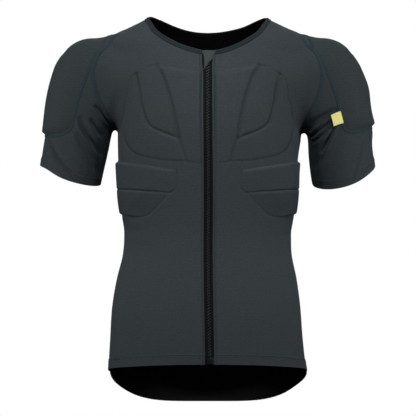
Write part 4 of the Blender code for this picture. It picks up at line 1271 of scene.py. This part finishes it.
def make_tapes():
    """Both woven tapes, with a film over the lower end of the left one."""
    ups = np.linspace(ZIP_BOTTOM, ZIP_TOP, int(TAPE_ROWS / COARSE))
    acrosses = np.linspace(TAPE_INNER, TAPE_OUTER, TAPE_COLUMNS)
    high, half = TAPE_RISE
    face = TAPE_FACE + high * bell(acrosses, TAPE_INNER, half)
    for side, sign in SIDES:
        tape = strip("zip_tape_" + side + "_weave", acrosses, ups, face, TAPE_FACE - TAPE_THICK,
                     ("tape", "tape", "film"), sign, node="zip_tape_" + side, slot="zip_tape")
        if side == "left":
            third_look(tape, STOP_TOP + FILM_REACH, (0, 1))


def make_coil():
    """The turns of the closed coil, those of one side between those of the other."""
    heights = np.arange(SLIDER_END - COIL_ENDS[0], STOP_TOP + COIL_ENDS[1], -COIL_PITCH)
    angles = np.linspace(0, 2 * math.pi, COIL_SIDES + 1)[:-1]
    body = np.array([(x, r * math.cos(a), r * math.sin(a)) for x, r in COIL_RINGS for a in angles])
    end = np.arange(COIL_SIDES)
    turn = [*grid_faces(len(COIL_RINGS), COIL_SIDES, wrap=True), end, end[::-1] + len(body) - COIL_SIDES]
    points, faces = [], []
    for sign, shift in ((1, 0.0), (-1, COIL_SHIFT)):
        middle = seen(np.zeros_like(heights), heights + shift)
        normals = outward(middle)
        for place, n, up in zip(middle, normals, np.cross(normals, (1.0, 0, 0))):
            made = place - COIL_DEPTH * n + np.outer(body[:, 0] * sign, (1.0, 0, 0))
            made += np.outer(body[:, 1] + COIL_LEAN * sign * body[:, 0], up)
            made += np.outer(COIL_STRETCH * body[:, 2], n)
            faces += [(f + len(points) * len(body))[::-sign] for f in turn]
            points.append(made)
    make_piece("zip_coil_chain", np.vstack(points), faces, ("coil",), [0] * len(faces), node="zip_coil",
               slot="zip_coil")


def make_zip_ends():
    """The slider at the top of the coil, and the box and the pin at its foot."""
    columns, rows = SLIDER_GRID
    across = np.linspace(-SLIDER_HALF, SLIDER_HALF, columns)
    high, half = SLIDER_RIDGE
    face = (SLIDER_RAISE - MOULDED_BACK) * rounded(columns, SLIDER_ROUND[0]) + high * bell(across, 0, half)
    face = MOULDED_BACK - SLIDER_SUNK + face * rounded(rows, SLIDER_ROUND[1])[:, None]
    strip("zip_slider_body", across, np.linspace(SLIDER_END, ZIP_TOP, rows), face, MOULDED_BACK,
          ("coil", "coil"), node="zip_slider", slot="zip_coil")
    columns, rows = STOP_GRID
    across = np.linspace(-STOP_HALF, STOP_HALF, columns)
    deep, half = STOP_SLIT
    face = (STOP_RAISE - MOULDED_BACK) * rounded(columns, STOP_ROUND) - deep * bell(across, 0, half)
    face = MOULDED_BACK + face * rounded(rows, STOP_ROUND)[:, None]
    strip("zip_stop_box", across, np.linspace(ZIP_BOTTOM, STOP_TOP, rows), face, MOULDED_BACK,
          ("plastic", "plastic"), node="zip_stop", slot="zip_coil")
    columns, rows = PIN_GRID
    across = np.linspace(PIN_ACROSS - PIN_HALF, PIN_ACROSS + PIN_HALF, columns)
    face = PIN_LOW + PIN_THICK * rounded(columns, PIN_ROUND)
    strip("zip_stop_pin", across, np.linspace(STOP_TOP - PIN_TUCK, STOP_TOP + PIN_LENGTH, rows), face,
          PIN_LOW, ("pin", "pin"), node="zip_stop", slot="zip_coil")


def make_flap():
    """The folded flap over the top of the zip."""
    rows, columns = GARAGE_GRID
    t = np.linspace(0, GARAGE_REACH, rows)
    shares = np.linspace(0, 1, GARAGE_POINTS)
    sewn, free = (sampled(spline(line, GARAGE_POINTS), shares, t) for line in (GARAGE_SEWN, GARAGE_FREE))
    share = np.linspace(0, 1, columns)
    plane = sewn[:, None] * (1 - share)[:, None] + free[:, None] * share[:, None]
    base = seen(plane[..., 0], plane[..., 1])
    gap = np.linalg.norm(plane - free[:, None], axis=-1)
    place, half, deep = GARAGE_LINE
    drawn, reach = GARAGE_DRAWN
    low = GARAGE_RAISE - drawn * bell(share, 0, reach)
    face, back = (low + arch * np.sin(math.pi * share) for arch in GARAGE_ARCH)
    skin("zip_garage_flap", base, outward(base), face + GARAGE_THICK - deep * bell(gap, place, half), back,
         grid_faces(rows, columns), ("flap", "flap"), node="zip_garage", slot="cloth")


# Label

def label_patch(acrosses, downs):
    """Points of the left sleeve under a stretch of the label, with their normals and shares across it."""
    a, b, c, d = np.array(LABEL_CORNERS)
    s, t = (g[..., None] for g in np.meshgrid(acrosses, downs))
    plane = (a * (1 - s) + b * s) * (1 - t) + (d * (1 - s) + c * s) * t
    base = Sleeve("left").surface(plane * SLEEVE_PLANE)
    return base, outward(base), s[..., 0]


def make_label():
    """The bare woven label that stands out over the left sleeve beside the pad's seam, and a dark backing
    that reaches past its free edge as its painted shadow.
    """
    # A dark sheet under the label that reaches out past its free edge: painted shadow of the label
    acrosses = np.linspace(*SHADOW_SHEET_ACROSS, SHADOW_SHEET_POINTS)
    base, normals, _ = label_patch(acrosses, np.linspace(*SHADOW_SHEET_DOWN, LABEL_POINTS))
    low, high = SHADOW_SHEET_HEIGHTS
    skin("label_painted_shadow", base, normals, high, low, grid_faces(*base.shape[:2]), ("tape", "tape"),
         slot="label")
    shares = np.linspace(0, 1, LABEL_POINTS)
    base, normals, across = label_patch(shares, shares)
    lift = LABEL_LOW + (LABEL_HIGH - LABEL_LOW) * (1 - across) ** LABEL_FALL
    face = lift + LABEL_THICK
    for high, place, half in (LABEL_HEM, LABEL_LINE):
        face = face + high * bell(across, place, half)
    skin("sleeve_label_tab", base, normals, face, lift, grid_faces(*base.shape[:2]), ("label", "label"),
         node="sleeve_label", slot="label")


# Stage

def light(name, place, aim, wide, high, spread, power):
    """A soft light aimed at a point."""
    data = bpy.data.lights.new(name, "AREA")
    data.shape = "RECTANGLE"
    data.size = wide
    data.size_y = high
    data.spread = math.radians(spread)
    data.energy = power
    made = bpy.data.objects.new(name, data)
    made.location = place
    made.rotation_euler = (Vector(aim) - Vector(place)).to_track_quat("-Z", "Y").to_euler()
    made.visible_camera = False
    bpy.context.scene.collection.objects.link(made)


def make_world():
    """A white surround for the camera, and a faint light from all round for the vest."""
    world = bpy.data.worlds.new("studio")
    world.use_nodes = True
    bpy.context.scene.world = world
    nodes, links = world.node_tree.nodes, world.node_tree.links
    plain = nodes["Background"]
    fill(plain, {"Color": WHITE, "Strength": 1.0})
    soft = nodes.new("ShaderNodeBackground")
    fill(soft, {"Color": WORLD_TINT, "Strength": WORLD_LIGHT})
    path = nodes.new("ShaderNodeLightPath")
    either = nodes.new("ShaderNodeMixShader")
    links.new(path.outputs["Is Camera Ray"], either.inputs["Fac"])
    links.new(soft.outputs["Background"], either.inputs[1])
    links.new(plain.outputs["Background"], either.inputs[2])
    links.new(either.outputs["Shader"], nodes["World Output"].inputs["Surface"])


def make_floor():
    """The pale floor, far below the vest."""
    turn = np.linspace(0, 2 * math.pi, FLOOR_SIDES + 1)[:-1]
    edge = [(FLOOR_REACH * math.cos(a), FLOOR_REACH * math.sin(a), FLOOR_HEIGHT) for a in turn]
    mesh = bpy.data.meshes.new("floor")
    mesh.from_pydata(edge, [], [list(range(FLOOR_SIDES))])
    pale = look(*FLOOR_LOOK, **FLOOR_WEAVE)
    mesh.materials.append(pale)
    shader = pale.node_tree.nodes["Principled BSDF"]
    fill(shader, {"Emission Color": WHITE, "Emission Strength": FLOOR_GLOW})
    floor = bpy.data.objects.new("floor", mesh)
    floor.visible_diffuse = False
    floor.visible_glossy = False
    bpy.context.scene.collection.objects.link(floor)


def make_camera():
    """The camera in front of the vest."""
    data = bpy.data.cameras.new("camera")
    data.sensor_width = CAMERA_SENSOR
    data.lens = CAMERA_LENS
    data.clip_end = CAMERA_CLIP
    data.dof.use_dof = False
    camera = bpy.data.objects.new("camera", data)
    camera.location = CAMERA_PLACE
    camera.rotation_euler = (math.radians(90), 0, 0)
    bpy.context.scene.collection.objects.link(camera)
    bpy.context.scene.camera = camera


def make_stage():
    """White surround, pale floor, soft lights and the camera."""
    settings = bpy.context.scene.view_settings
    settings.view_transform = "Standard"
    settings.look = "None"
    make_world()
    make_floor()
    for name, row in LIGHTS.items():
        light(name, *row)
    make_camera()


# Everything

fronts = make_fronts()
back = make_back()
sleeves, cuffs = {}, {}
for side, sign in SIDES:
    sleeves[side] = Sleeve(side)
    cuffs[side] = make_sleeve(sleeves[side], sign)
    make_cover(sleeves[side], sign)
make_binding()
make_tapes()
make_coil()
make_zip_ends()
make_flap()
make_label()
make_seams(sleeves)
make_stitches(fronts, back, sleeves, cuffs)
make_stage()
